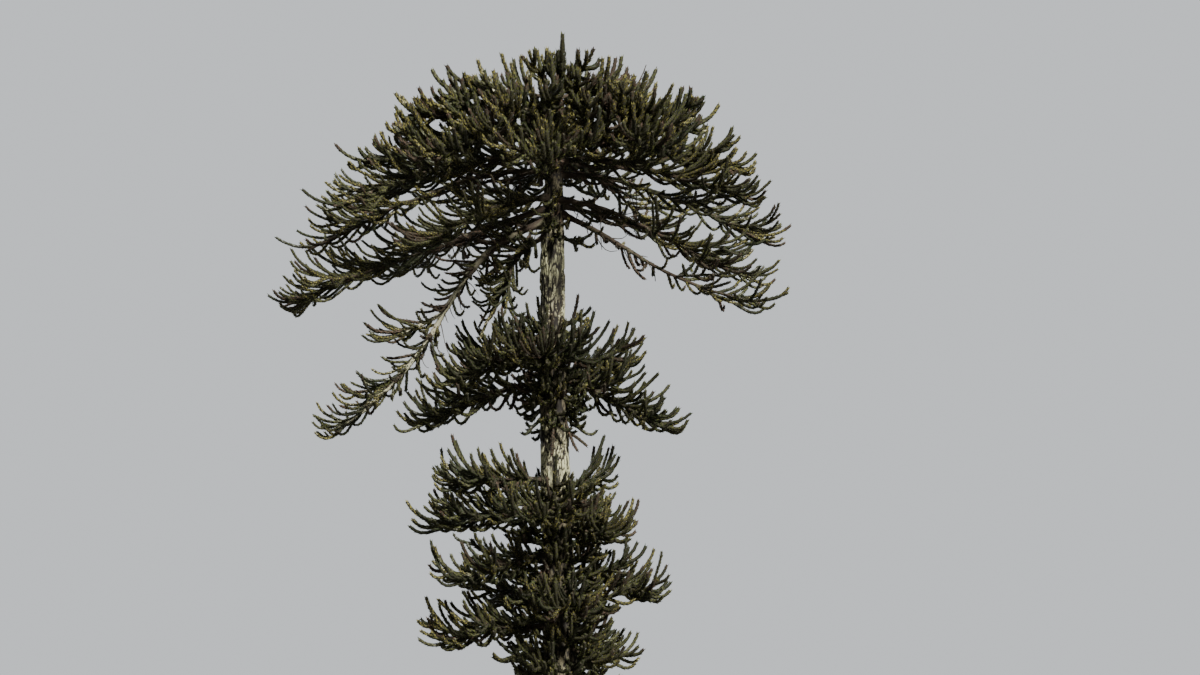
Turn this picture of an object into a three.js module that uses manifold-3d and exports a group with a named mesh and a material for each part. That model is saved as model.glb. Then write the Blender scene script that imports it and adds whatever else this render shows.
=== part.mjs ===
import * as THREE from "three";
import { mergeVertices } from "three/addons/utils/BufferGeometryUtils.js";
import Module from "manifold-3d";

// A mature monkey puzzle tree with an umbrella crown, in millimetres, +Z up. The origin is the
// centre of the flat cut under the trunk, at ground level. +X is the right-hand side of the crown
// and -Y the side that it is usually seen from.

const wasm = await Module();
wasm.setup();

// Trunk
const TRUNK_TOP = 13400;
const CROWN_FOOT = 11200; // height where the bole ends and the trunk narrows quickly
const GROUND_RADIUS = 315;
const CROWN_RADIUS = 192;
const TOP_RADIUS = 34;
const FLARE = 190; // how far the root flare stands out at ground level
const FLARE_HEIGHT = 1250;
const FLARE_LOBES = 5;
const LEAN = -25; // how far the top stands to the left of the foot
const SWAY = 58; // depth of the bole's slow bend to each side
const TRUNK_SIDES = 14;
const TRUNK_RINGS = [
  0, 110, 280, 520, 850, 1250, 2600, 4200, 5800, 7400, 9200, 11200, 12100, 12800, TRUNK_TOP,
];

// Boughs, stems and twigs
const BOUGH_SIDES = 5;
const ENTRY_RADIUS = 46; // where a limb enters its foliage
const STEM_TIP_RADIUS = 34;
const STEM_SIDES = 4;
const TWIG_SIDES = 3;
const TWIG_RADIUS = 27;
const TWIG_TIP_RADIUS = 25;
const TWIG_ANGLE = 48; // degrees between a side twig and its stem
const JOINT_GAP = 0.35; // between a stem and what carries it
const CLEARANCE = 3; // between the foliage of two masses, or foliage and a limb
const FREE_FROM = 0.2; // share of a twig or spray from which it keeps clear of its own mass too

// Sprays: each stands for three or four ropes of overlapping leaves. It is a bar of three sides
// whose rings are turned against each other, so that the corners stand out like leaf tips.
const SPRAY_LENGTH = 740;
const SPRAY_RADIUS = 68; // out to the leaf tips
const SPRAY_RINGS = [[0, 0.13], [0.38, 1], [0.74, 0.8]]; // share of the length, share of the radius
const RING_TURN = Math.PI / 3;
const STEM_ROLLS = [170, 10, 92, 200]; // which side of the stem: 0 right, 90 above, 180 left
const STEM_TIP_SPRAYS = [[0.94, 92, 5], [0.84, -4, 34]]; // share of the stem, roll, angle
const TWIG_SPRAYS = [[0.3, 150, 42], [0.42, 20, 40]];
const FINEST = 1; // facets smaller than this are left out of a mass
const SEED = 4170;

// The limbs grow in tiers. A tier gives the slopes in degrees at which its limbs leave the trunk and
// end, their radius at the foot, the share of their length that is bare bough (0 where the foliage
// starts at the trunk), the side twigs in the foliage, how far these spread, the sprays on the stem
// itself, and how strongly the sprays turn up.
// Each limb of a tier: the way it points (degrees from +X, 90 is away from the viewer), the height
// where it leaves the trunk, how far out and how high its tip is, and what differs from its tier.
const TIERS = [
  {
    // The lowest boughs of the umbrella, long and drooping
    common: { leave: -6, arrive: -22, foot: 80, bare: 0.46, twigs: 3, fan: 700, sprays: 3, lift: 1.1 },
    limbs: {
      low_left: [184, 11480, 4280, 9820, { leave: -16, bare: 0.5, sprays: 4 }],
      low_right: [351, 11420, 3350, 9850, { leave: -22, arrive: -12, bare: 0.52, fan: 560, lift: 0.5 }],
      low_front_right: [320, 11600, 3450, 10250],
      low_back_right: [26, 11530, 3650, 10450],
      low_back_left: [140, 11300, 3400, 10750, { leave: 2 }],
      low_front_left: [221, 11640, 2600, 10700, { bare: 0, fan: 600 }],
    },
  },
  {
    // The broad tier over them
    common: { leave: 8, arrive: -16, foot: 78, bare: 0, twigs: 3, fan: 740, sprays: 4, lift: 1.25 },
    limbs: {
      left_sweep: [176, 12060, 4000, 10780, { leave: 4, arrive: -28, bare: 0.5, sprays: 4 }],
      right_sweep: [4, 12000, 3330, 11000, { leave: 4, arrive: -24, bare: 0.46, sprays: 4 }],
      upper_left: [160, 12320, 3750, 11600],
      left_front: [206, 12220, 3800, 11250, { arrive: -22 }],
      right_front: [340, 12200, 3350, 11420, { arrive: -20 }],
      back_left: [112, 12160, 3500, 11500],
      back_right: [60, 12240, 3500, 11500],
    },
  },
  {
    // The shoulder of the dome
    common: { leave: 13, arrive: -12, foot: 62, bare: 0, twigs: 3, fan: 700, sprays: 4, lift: 1.35 },
    limbs: {
      shoulder_left: [181, 12700, 3080, 12180],
      shoulder_front_left: [232, 12560, 3050, 12000],
      shoulder_front: [268, 12430, 3250, 11700],
      shoulder_front_right: [306, 12620, 3050, 12000],
      shoulder_right: [356, 12500, 2850, 12060],
      shoulder_back: [86, 12720, 2850, 12350],
    },
  },
  {
    // The rising branches near the top
    common: { leave: 22, arrive: 2, foot: 46, bare: 0, twigs: 3, fan: 560, sprays: 3, lift: 1.8 },
    limbs: {
      top_left: [190, 12990, 2420, 12900],
      top_front_left: [250, 12870, 2250, 12750],
      top_front_right: [312, 12990, 2250, 12800],
      top_right: [6, 12870, 2180, 12800],
      top_back: [98, 12950, 2150, 12950],
    },
  },
  {
    // The crest round the leading shoot
    common: { leave: 34, arrive: 12, foot: 42, bare: 0, twigs: 2, fan: 400, sprays: 4, lift: 2.4 },
    limbs: {
      crest_left: [168, 13180, 1650, 13440],
      crest_front: [275, 13120, 1250, 13400],
      crest_right: [25, 13220, 1400, 13420],
    },
  },
  {
    // The leading shoot that stands on the trunk, with sprays all round it
    common: { leave: 90, arrive: 88, foot: 33, bare: 0, twigs: 0, fan: 0, sprays: 8, lift: 1.0 },
    limbs: {
      leader: [200, TRUNK_TOP + JOINT_GAP, 25, 13580, { size: 0.66, rolls: [0, 75, 145, 220, 290, 35] }],
    },
  },
  {
    // Two limbs that hang out of the crown on the left, and a tuft on the side of the longer one
    common: { leave: -20, arrive: -24, foot: 66, bare: 0, twigs: 2, fan: 380, sprays: 4, lift: 0.8 },
    limbs: {
      hanging: [197, 11240, 3500, 7900, { leave: -10, bare: 0.66, twigs: 3, fan: 420 }],
      hanging_tuft: [205, 0, 700, 9330, { on: "hanging", at: 0.5, foot: 38, twigs: 1 }],
      hanging_short: [205, 11060, 950, 9980, { arrive: -70, fan: 320, lift: -0.4 }],
    },
  },
  {
    // The tier half way down the bole
    common: { leave: 14, arrive: -2, foot: 60, bare: 0, twigs: 3, fan: 480, sprays: 3, lift: 1.7 },
    limbs: {
      middle_left: [184, 8620, 2050, 7980, { leave: 6, arrive: -22, fan: 560, sprays: 4 }],
      middle_left_upper: [205, 8980, 1600, 8650, { arrive: -12 }],
      middle_back_left: [140, 9120, 1450, 9060],
      middle_front: [262, 8900, 1100, 8980, { leave: 24, arrive: 6, sprays: 4 }],
      middle_right: [350, 8700, 1620, 7960, { leave: 0, arrive: -22, sprays: 4, lift: 1.1 }],
      middle_right_upper: [16, 9000, 1050, 8950, { leave: 20, arrive: 4, twigs: 2, sprays: 4 }],
      middle_back: [80, 8840, 1350, 8760],
    },
  },
  {
    // The dense skirt round the lower bole
    common: { leave: 10, arrive: -6, foot: 58, bare: 0, twigs: 3, fan: 520, sprays: 3, lift: 1.6 },
    limbs: {
      skirt_upper_left: [188, 7060, 1500, 7040, { arrive: 0 }],
      skirt_upper_right: [350, 6960, 480, 7040, { leave: 24, arrive: 16, twigs: 2, fan: 240, lift: 2 }],
      skirt_left: [172, 6480, 1880, 6400],
      skirt_front: [262, 6700, 1350, 6420],
      skirt_right: [338, 6280, 850, 6200, { fan: 420 }],
      skirt_back: [84, 6560, 1450, 6360],
      skirt_front_left: [212, 5860, 1700, 5500, { arrive: -12 }],
      skirt_right_lower: [6, 5560, 1350, 5280, { fan: 380 }],
      skirt_back_lower: [130, 5500, 1400, 5160],
      skirt_front_lower: [290, 5300, 1150, 4980, { arrive: -12 }],
      foot_left: [190, 4760, 1750, 4520, { leave: 2, arrive: -12, fan: 420, lift: 0.9 }],
      foot_right: [325, 4460, 700, 4180, { leave: 4, arrive: -14, twigs: 2, fan: 400 }],
      foot_back: [70, 4380, 1050, 4080, { leave: 4, arrive: -12, twigs: 2, fan: 460 }],
    },
  },
];
const MATERIALS = {
  bark: new THREE.MeshStandardMaterial({ color: 0x77735a, roughness: 0.95, metalness: 0 }),
  limb: new THREE.MeshStandardMaterial({ color: 0x6a5f4c, roughness: 0.95, metalness: 0 }),
  foliage: new THREE.MeshStandardMaterial({ color: 0x35421f, roughness: 0.6, metalness: 0 }),
};

const UP = new THREE.Vector3(0, 0, 1);
const ALONG_X = new THREE.Vector3(1, 0, 0);
const radians = THREE.MathUtils.degToRad;
const lerp = THREE.MathUtils.lerp;

// A number from low to high that depends only on the limb, the item on it and the use it is put to.
function vary(limb, item, use, low, high) {
  const key = SEED + limb.index * 4096 + item * 16 + use;
  return lerp(low, high, THREE.MathUtils.seededRandom(key));
}

function trunkCentre(height) {
  const share = height / TRUNK_TOP;
  const x = LEAN * share + SWAY * Math.sin(2 * Math.PI * share);
  const y = SWAY * 0.6 * Math.sin(Math.PI * share);
  return new THREE.Vector3(x, y, height);
}

function trunkRadius(height) {
  if (height > CROWN_FOOT) {
    return lerp(CROWN_RADIUS, TOP_RADIUS, (height - CROWN_FOOT) / (TRUNK_TOP - CROWN_FOOT));
  }
  return lerp(GROUND_RADIUS, CROWN_RADIUS, height / CROWN_FOOT);
}

// The flare stands out in lobes over the main roots and dies away up the bole.
function flareAt(height, angle) {
  const share = Math.max(0, 1 - height / FLARE_HEIGHT);
  return FLARE * share ** 2.4 * (0.72 + 0.28 * Math.cos(FLARE_LOBES * angle + 0.6));
}

function toSolid(geometry) {
  geometry.deleteAttribute("normal");
  geometry.deleteAttribute("uv");
  const merged = mergeVertices(geometry, 1e-3);
  const mesh = new wasm.Mesh({
    numProp: 3,
    vertProperties: merged.attributes.position.array,
    triVerts: new Uint32Array(merged.index.array),
  });
  return new wasm.Manifold(mesh);
}

function toMesh(name, solid, material) {
  const { vertProperties, triVerts } = solid.getMesh();
  const geometry = new THREE.BufferGeometry();
  geometry.setAttribute("position", new THREE.BufferAttribute(vertProperties, 3));
  geometry.setIndex(new THREE.BufferAttribute(triVerts, 1));
  geometry.computeVertexNormals();
  const mesh = new THREE.Mesh(geometry, material);
  mesh.name = name;
  return mesh;
}

// A closed bar turned on the lathe, ready to be bent. Rings are pairs of place and radius. The bar
// ends in a point where a place is given for it, and flat where none is.
function turnedBar(rings, sides, point) {
  const profile = rings.map(([place, radius]) => new THREE.Vector2(radius, place));
  profile.unshift(new THREE.Vector2(0, rings[0][0]));
  profile.push(new THREE.Vector2(0, point ?? rings.at(-1)[0]));
  return new THREE.LatheGeometry(profile, sides);
}

function trunkSolid(grown) {
  const bar = turnedBar(TRUNK_RINGS.map((height) => [height, 1]), TRUNK_SIDES);
  const place = bar.attributes.position;
  for (let i = 0; i < place.count; i++) {
    const height = place.getY(i);
    const share = Math.hypot(place.getX(i), place.getZ(i));
    const angle = Math.atan2(place.getX(i), place.getZ(i));
    const radius = share * (trunkRadius(height) + flareAt(height, angle) + grown);
    const centre = trunkCentre(height);
    place.setXYZ(i, centre.x + radius * Math.sin(angle), centre.y - radius * Math.cos(angle), height);
  }
  return toSolid(bar);
}

// The way forward at a share of a curve, with the directions to its right and over it.
function frameAt(curve, share) {
  const along = curve.getTangent(share);
  const reference = Math.abs(along.z) > 0.97 ? ALONG_X : UP;
  const side = new THREE.Vector3().crossVectors(along, reference).normalize();
  const over = new THREE.Vector3().crossVectors(side, along);
  return { at: curve.getPoint(share), along, side, over };
}

// A bar bent along a curve. Turn twists each ring against the one before it.
function bentBar(curve, rings, sides, { point, turn = 0 } = {}) {
  const bar = turnedBar(rings, sides, point);
  const perColumn = rings.length + 2;
  const place = bar.attributes.position;
  for (let i = 0; i < place.count; i++) {
    const { at, side, over } = frameAt(curve, place.getY(i));
    const angle = Math.atan2(place.getX(i), place.getZ(i)) + turn * (i % perColumn);
    const radius = Math.hypot(place.getX(i), place.getZ(i));
    at.addScaledVector(side, radius * Math.sin(angle));
    at.addScaledVector(over, radius * Math.cos(angle));
    place.setXYZ(i, at.x, at.y, at.z);
  }
  return toSolid(bar);
}

function slope(out, degrees) {
  return out.clone().multiplyScalar(Math.cos(radians(degrees))).setZ(Math.sin(radians(degrees)));
}

// A limb's line: it leaves what carries it at one slope and ends at another.
function limbCurve(limb, start) {
  const out = new THREE.Vector3(Math.cos(radians(limb.az)), Math.sin(radians(limb.az)), 0);
  const tip = start.clone().addScaledVector(out, limb.reach).setZ(limb.tip);
  const handle = start.distanceTo(tip) * 0.36;
  const leaving = start.clone().addScaledVector(slope(out, limb.leave), handle);
  const arriving = tip.clone().addScaledVector(slope(out, limb.arrive), -handle);
  return new THREE.CubicBezierCurve3(start, leaving, arriving, tip);
}

// A limb tapers from its foot to where the foliage starts, and more slowly from there to its tip.
function limbRadius(limb, share) {
  const entry = Math.max(limb.bare, 0.35);
  const entryRadius = Math.min(ENTRY_RADIUS, limb.foot);
  if (share < entry) return lerp(limb.foot, entryRadius, share / entry);
  return lerp(entryRadius, Math.min(STEM_TIP_RADIUS, limb.foot), (share - entry) / (1 - entry));
}

// A side twig leaves its stem forwards and to one side, levels out, and its outer half is a spray
// that turns up. Reach shortens it where there is no room for all of it.
function twigCurve(limb, number, reach) {
  const share = (number + 0.5) / limb.twigs;
  const at = lerp(Math.max(limb.bare, 0.1), 1, 0.08 + 0.74 * share);
  const { at: start, along, side, over } = frameAt(limb.curve, at);
  const hand = number % 2 === 0 ? 1 : -1;
  const angle = radians(TWIG_ANGLE + vary(limb, number, 1, -9, 9));
  const way = along.clone().multiplyScalar(Math.cos(angle));
  way.addScaledVector(side, hand * Math.sin(angle));
  way.addScaledVector(over, vary(limb, number, 2, -0.15, 0.25)).normalize();
  const fan = limb.fan * (1.15 - 0.4 * share) * vary(limb, number, 3, 0.85, 1.15);
  const length = (fan + SPRAY_LENGTH * 0.8) * reach;
  const onward = way.clone().addScaledVector(along, 0.3).addScaledVector(UP, 0.1).normalize();
  const upward = onward.clone().addScaledVector(UP, limb.lift * 0.8).normalize();
  const near = start.clone().addScaledVector(way, length * 0.36);
  const far = near.clone().addScaledVector(onward, length * 0.34);
  const end = far.clone().addScaledVector(upward, length * 0.32);
  return new THREE.CubicBezierCurve3(start, near, far, end);
}
const TWIG_RINGS = [[0, TWIG_RADIUS], [0.42, TWIG_TIP_RADIUS], [0.56, SPRAY_RADIUS], [0.8, SPRAY_RADIUS * 0.85]];

// A spray leaves its parent at an angle, on the side that roll gives, then turns up.
function sprayCurve(limb, parent, item, [share, roll, angle], reach) {
  const { at: start, along, side, over } = frameAt(parent, share);
  const turn = radians(roll + vary(limb, item, 4, -16, 16));
  const lean = radians(angle + vary(limb, item, 5, -6, 6));
  const way = along.clone().multiplyScalar(Math.cos(lean));
  way.addScaledVector(side, Math.cos(turn) * Math.sin(lean));
  way.addScaledVector(over, Math.sin(turn) * Math.sin(lean));
  const length = SPRAY_LENGTH * (limb.size ?? 1) * vary(limb, item, 6, 0.82, 1.18) * reach;
  const middle = start.clone().addScaledVector(way, length * 0.52);
  const onward = way.clone().addScaledVector(UP, limb.lift).normalize();
  const end = middle.clone().addScaledVector(onward, length * 0.5);
  return new THREE.QuadraticBezierCurve3(start, middle, end);
}

// Where the sprays of a limb's foliage sit, by one rule: along the stem by turns right, left and
// above, at its tip, and on each side twig one towards the stem and one away from it.
function spraySeats(limb) {
  const seats = [];
  const rolls = limb.rolls ?? STEM_ROLLS;
  for (let i = 0; i < limb.sprays; i++) {
    const share = (i + 0.5) / limb.sprays;
    const at = lerp(Math.max(limb.bare, 0.15), 1, 0.1 + 0.74 * share);
    seats.push([limb.curve, [at, rolls[i % rolls.length], lerp(56, 36, share)]]);
  }
  for (const seat of STEM_TIP_SPRAYS) seats.push([limb.curve, seat]);
  limb.twigCurves.forEach((twig, i) => seats.push([twig, TWIG_SPRAYS[i % 2]]));
  return seats;
}

// What already stands somewhere: straight runs with a radius, each with the name of its owner.
const standing = [];

function runsOf(owner, curve, from, to, pieces, radiusAt) {
  return Array.from({ length: pieces }, (_, i) => {
    const a = lerp(from, to, i / pieces);
    const b = lerp(from, to, (i + 1) / pieces);
    const line = new THREE.Line3(curve.getPoint(a), curve.getPoint(b));
    return { owner, line, radius: Math.max(radiusAt(a), radiusAt(b)), outer: a > FREE_FROM };
  });
}

// Within one mass only the outer parts keep clear of each other, as the rest springs from one stem.
function isClear(runs) {
  return runs.every(({ owner, line, radius, outer }) =>
    standing.every((other) => {
      if (other.owner === owner && !(outer && other.outer)) return true;
      const room = radius + other.radius + CLEARANCE;
      return line.distanceSqToLine3(other.line) > room * room;
    }),
  );
}

// Grows a twig or spray at full length, or shorter where that is in the way of something, or not.
function growWithRoom(owner, makeCurve, radiusAt) {
  for (const reach of [1, 0.82, 0.66]) {
    const curve = makeCurve(reach);
    const runs = runsOf(owner, curve, 0.06, 1, 5, radiusAt);
    if (isClear(runs)) {
      standing.push(...runs);
      return curve;
    }
  }
  return null;
}

for (let i = 1; i < TRUNK_RINGS.length; i++) {
  const [low, high] = [TRUNK_RINGS[i - 1], TRUNK_RINGS[i]];
  const radius = trunkRadius(low) + flareAt(low, -0.6 / FLARE_LOBES);
  standing.push({ owner: "trunk", line: new THREE.Line3(trunkCentre(low), trunkCentre(high)), radius });
}

// First every limb takes its place, then the side twigs, then the sprays fill what room is left.
const limbs = {};
for (const { common, limbs: rows } of TIERS) {
  for (const [name, [az, from, reach, tip, own]] of Object.entries(rows)) {
    const limb = { ...common, name, az, from, reach, tip, ...own, index: Object.keys(limbs).length };
    const start = limb.on ? limbs[limb.on].curve.getPoint(limb.at) : trunkCentre(from);
    const radiusAt = (share) => limbRadius(limb, share);
    limb.curve = limbCurve(limb, start);
    limbs[name] = limb;
    if (limb.bare) standing.push(...runsOf(name + "_bough", limb.curve, 0, limb.bare, 6, radiusAt));
    for (const run of runsOf(name, limb.curve, limb.bare, 1, 6, radiusAt)) {
      standing.push({ ...run, outer: false });
    }
  }
}
for (const limb of Object.values(limbs)) {
  const radiusAt = (share) => (share < 0.42 ? TWIG_RADIUS : SPRAY_RADIUS);
  limb.twigCurves = [];
  for (let number = 0; number < limb.twigs; number++) {
    const twig = growWithRoom(limb.name, (reach) => twigCurve(limb, number, reach), radiusAt);
    if (twig) limb.twigCurves.push(twig);
  }
}
for (const limb of Object.values(limbs)) {
  limb.sprayCurves = spraySeats(limb)
    .map(([parent, seat], i) => {
      const makeCurve = (reach) => sprayCurve(limb, parent, 100 + i, seat, reach);
      return growWithRoom(limb.name, makeCurve, () => SPRAY_RADIUS);
    })
    .filter((curve) => curve);
}

function ringsOf(limb, from, to, count) {
  return Array.from({ length: count }, (_, i) => {
    const share = lerp(from, to, i / (count - 1));
    return [share, limbRadius(limb, share)];
  });
}

function spraySolid(curve) {
  const rings = SPRAY_RINGS.map(([share, size]) => [share, size * SPRAY_RADIUS]);
  return bentBar(curve, rings, TWIG_SIDES, { point: 1, turn: RING_TURN });
}

function massSolid(limb) {
  const joint = limb.bare ? limb.bare + JOINT_GAP / limb.curve.getLength() : 0;
  const sides = limb.bare ? BOUGH_SIDES : STEM_SIDES;
  const stem = bentBar(limb.curve, ringsOf(limb, joint, 1, 4), sides);
  const twigs = limb.twigCurves.map((twig) =>
    bentBar(twig, TWIG_RINGS, TWIG_SIDES, { point: 1, turn: RING_TURN }),
  );
  return wasm.Manifold.union([stem, ...twigs, ...limb.sprayCurves.map(spraySolid)]).simplify(FINEST);
}

// Keeps the piece that holds the stem and drops any scrap that a cut has left loose.
function largest(solid) {
  return solid.decompose().reduce((a, b) => (a.volume() > b.volume() ? a : b));
}

const tree = new THREE.Group();
const trunkRoom = trunkSolid(JOINT_GAP);
tree.add(toMesh("trunk", trunkSolid(0), MATERIALS.bark));

const boughRoom = {};
for (const limb of Object.values(limbs).filter((one) => one.bare)) {
  const rings = ringsOf(limb, 0, limb.bare, 5);
  const wider = rings.map(([share, radius]) => [share, radius + JOINT_GAP * 1.25]);
  const bough = bentBar(limb.curve, rings, BOUGH_SIDES).subtract(trunkRoom);
  boughRoom[limb.name] = bentBar(limb.curve, wider, BOUGH_SIDES);
  tree.add(toMesh(limb.name + "_bough", largest(bough), MATERIALS.limb));
}
for (const limb of Object.values(limbs)) {
  const mass = massSolid(limb);
  const carrier = limb.on ? boughRoom[limb.on] : trunkRoom;
  const foliage = limb.bare ? mass : largest(mass.subtract(carrier));
  tree.add(toMesh(limb.name + "_foliage", foliage, MATERIALS.foliage));
}

export default tree;
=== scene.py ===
"""A mature monkey puzzle tree with an umbrella crown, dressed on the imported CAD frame, in metres.

The limbs, twigs and shoots grow by the rule of the part's source, carried on to single shoots, and
each shoot is covered with its overlapping leaves.
"""

import dataclasses
import functools
import math

import bpy
import numpy as np
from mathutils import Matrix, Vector, noise


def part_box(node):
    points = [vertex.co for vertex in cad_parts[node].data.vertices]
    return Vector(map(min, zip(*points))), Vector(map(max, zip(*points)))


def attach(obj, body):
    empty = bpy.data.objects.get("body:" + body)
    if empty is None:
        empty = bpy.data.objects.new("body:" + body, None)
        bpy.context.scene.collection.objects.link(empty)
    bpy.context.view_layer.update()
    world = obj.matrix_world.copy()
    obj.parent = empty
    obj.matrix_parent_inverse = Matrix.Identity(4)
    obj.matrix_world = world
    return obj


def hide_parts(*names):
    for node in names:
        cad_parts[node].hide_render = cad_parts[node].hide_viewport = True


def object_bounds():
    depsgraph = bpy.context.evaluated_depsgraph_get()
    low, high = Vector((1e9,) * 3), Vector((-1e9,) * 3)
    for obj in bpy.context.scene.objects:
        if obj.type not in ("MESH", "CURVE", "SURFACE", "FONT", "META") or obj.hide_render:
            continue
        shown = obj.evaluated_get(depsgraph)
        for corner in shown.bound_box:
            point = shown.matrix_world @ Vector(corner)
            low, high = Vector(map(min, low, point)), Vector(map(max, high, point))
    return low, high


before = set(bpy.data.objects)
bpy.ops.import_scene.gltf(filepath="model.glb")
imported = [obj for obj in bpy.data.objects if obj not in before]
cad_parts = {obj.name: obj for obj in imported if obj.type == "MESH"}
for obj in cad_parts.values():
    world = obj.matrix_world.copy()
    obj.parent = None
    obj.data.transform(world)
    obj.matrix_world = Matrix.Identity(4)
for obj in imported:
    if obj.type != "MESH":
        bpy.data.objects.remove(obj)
CAD_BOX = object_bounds()

bl_info = {
    "name": "Monkey puzzle tree",
    "version": (1, 0, 0),
    "blender": (4, 5, 0),
    "location": "View3D > Sidebar > Tree",
    "description": "Grows a mature monkey puzzle tree over its CAD solids",
    "category": "Add Mesh",
}

# The growth rule of the part's source

MM = 0.001

# Trunk
TRUNK_TOP = 13.4
CROWN_FOOT = 11.2  # height where the bole ends and the trunk narrows quickly
GROUND_RADIUS = 0.315
CROWN_RADIUS = 0.192
TOP_RADIUS = 0.034
FLARE = 0.19  # how far the root flare stands out at ground level
FLARE_HEIGHT = 1.25
FLARE_LOBES = 5
LEAN = -0.025
SWAY = 0.058
TRUNK_RINGS = (0, 0.11, 0.28, 0.52, 0.85, 1.25, 2.6, 4.2, 5.8, 7.4, 9.2, 11.2, 12.1, 12.8, 13.4)

# Boughs, stems and twigs
ENTRY_RADIUS = 0.046  # where a limb enters its foliage
STEM_TIP_RADIUS = 0.034
TWIG_RADIUS = 0.027
TWIG_ANGLE = 48  # degrees between a side twig and its stem
TWIG_LEGS = (0.36, 0.34, 0.32)  # the shares of a side twig that leave, level out and turn up
TWIG_TURN = 0.42  # share of a side twig where its spray begins
JOINT_GAP = 0.35  # millimetres between the leading shoot and the trunk's tip
CLEARANCE = 0.003
TRUNK_OWNER = -1
BARE_OWNER = 1000  # added to a limb's number for its bare bough, which nothing may touch
FREE_FROM = 0.2  # share of a twig or spray from which it keeps clear of its own mass too

# Sprays
SPRAY_LENGTH = 0.74
SPRAY_RADIUS = 0.068
SPRAY_LEGS = (0.52, 0.5)  # the shares of a spray that run out and turn up
STEM_ROLLS = (170, 10, 92, 200)  # which side of the stem: 0 right, 90 above, 180 left
STEM_TIP_SPRAYS = ((0.94, 92, 5), (0.84, -4, 34))  # share of the stem, roll, angle
TWIG_SPRAYS = ((0.3, 150, 42), (0.42, 20, 40))
REACHES = (1, 0.82, 0.66)  # a twig or spray with no room for all of it grows shorter, or not at all
SEED = 4170
FINE = 1000  # the first number of the shoots that only this script grows, and its keys' own range
FINE_KEYS = 524288

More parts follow.
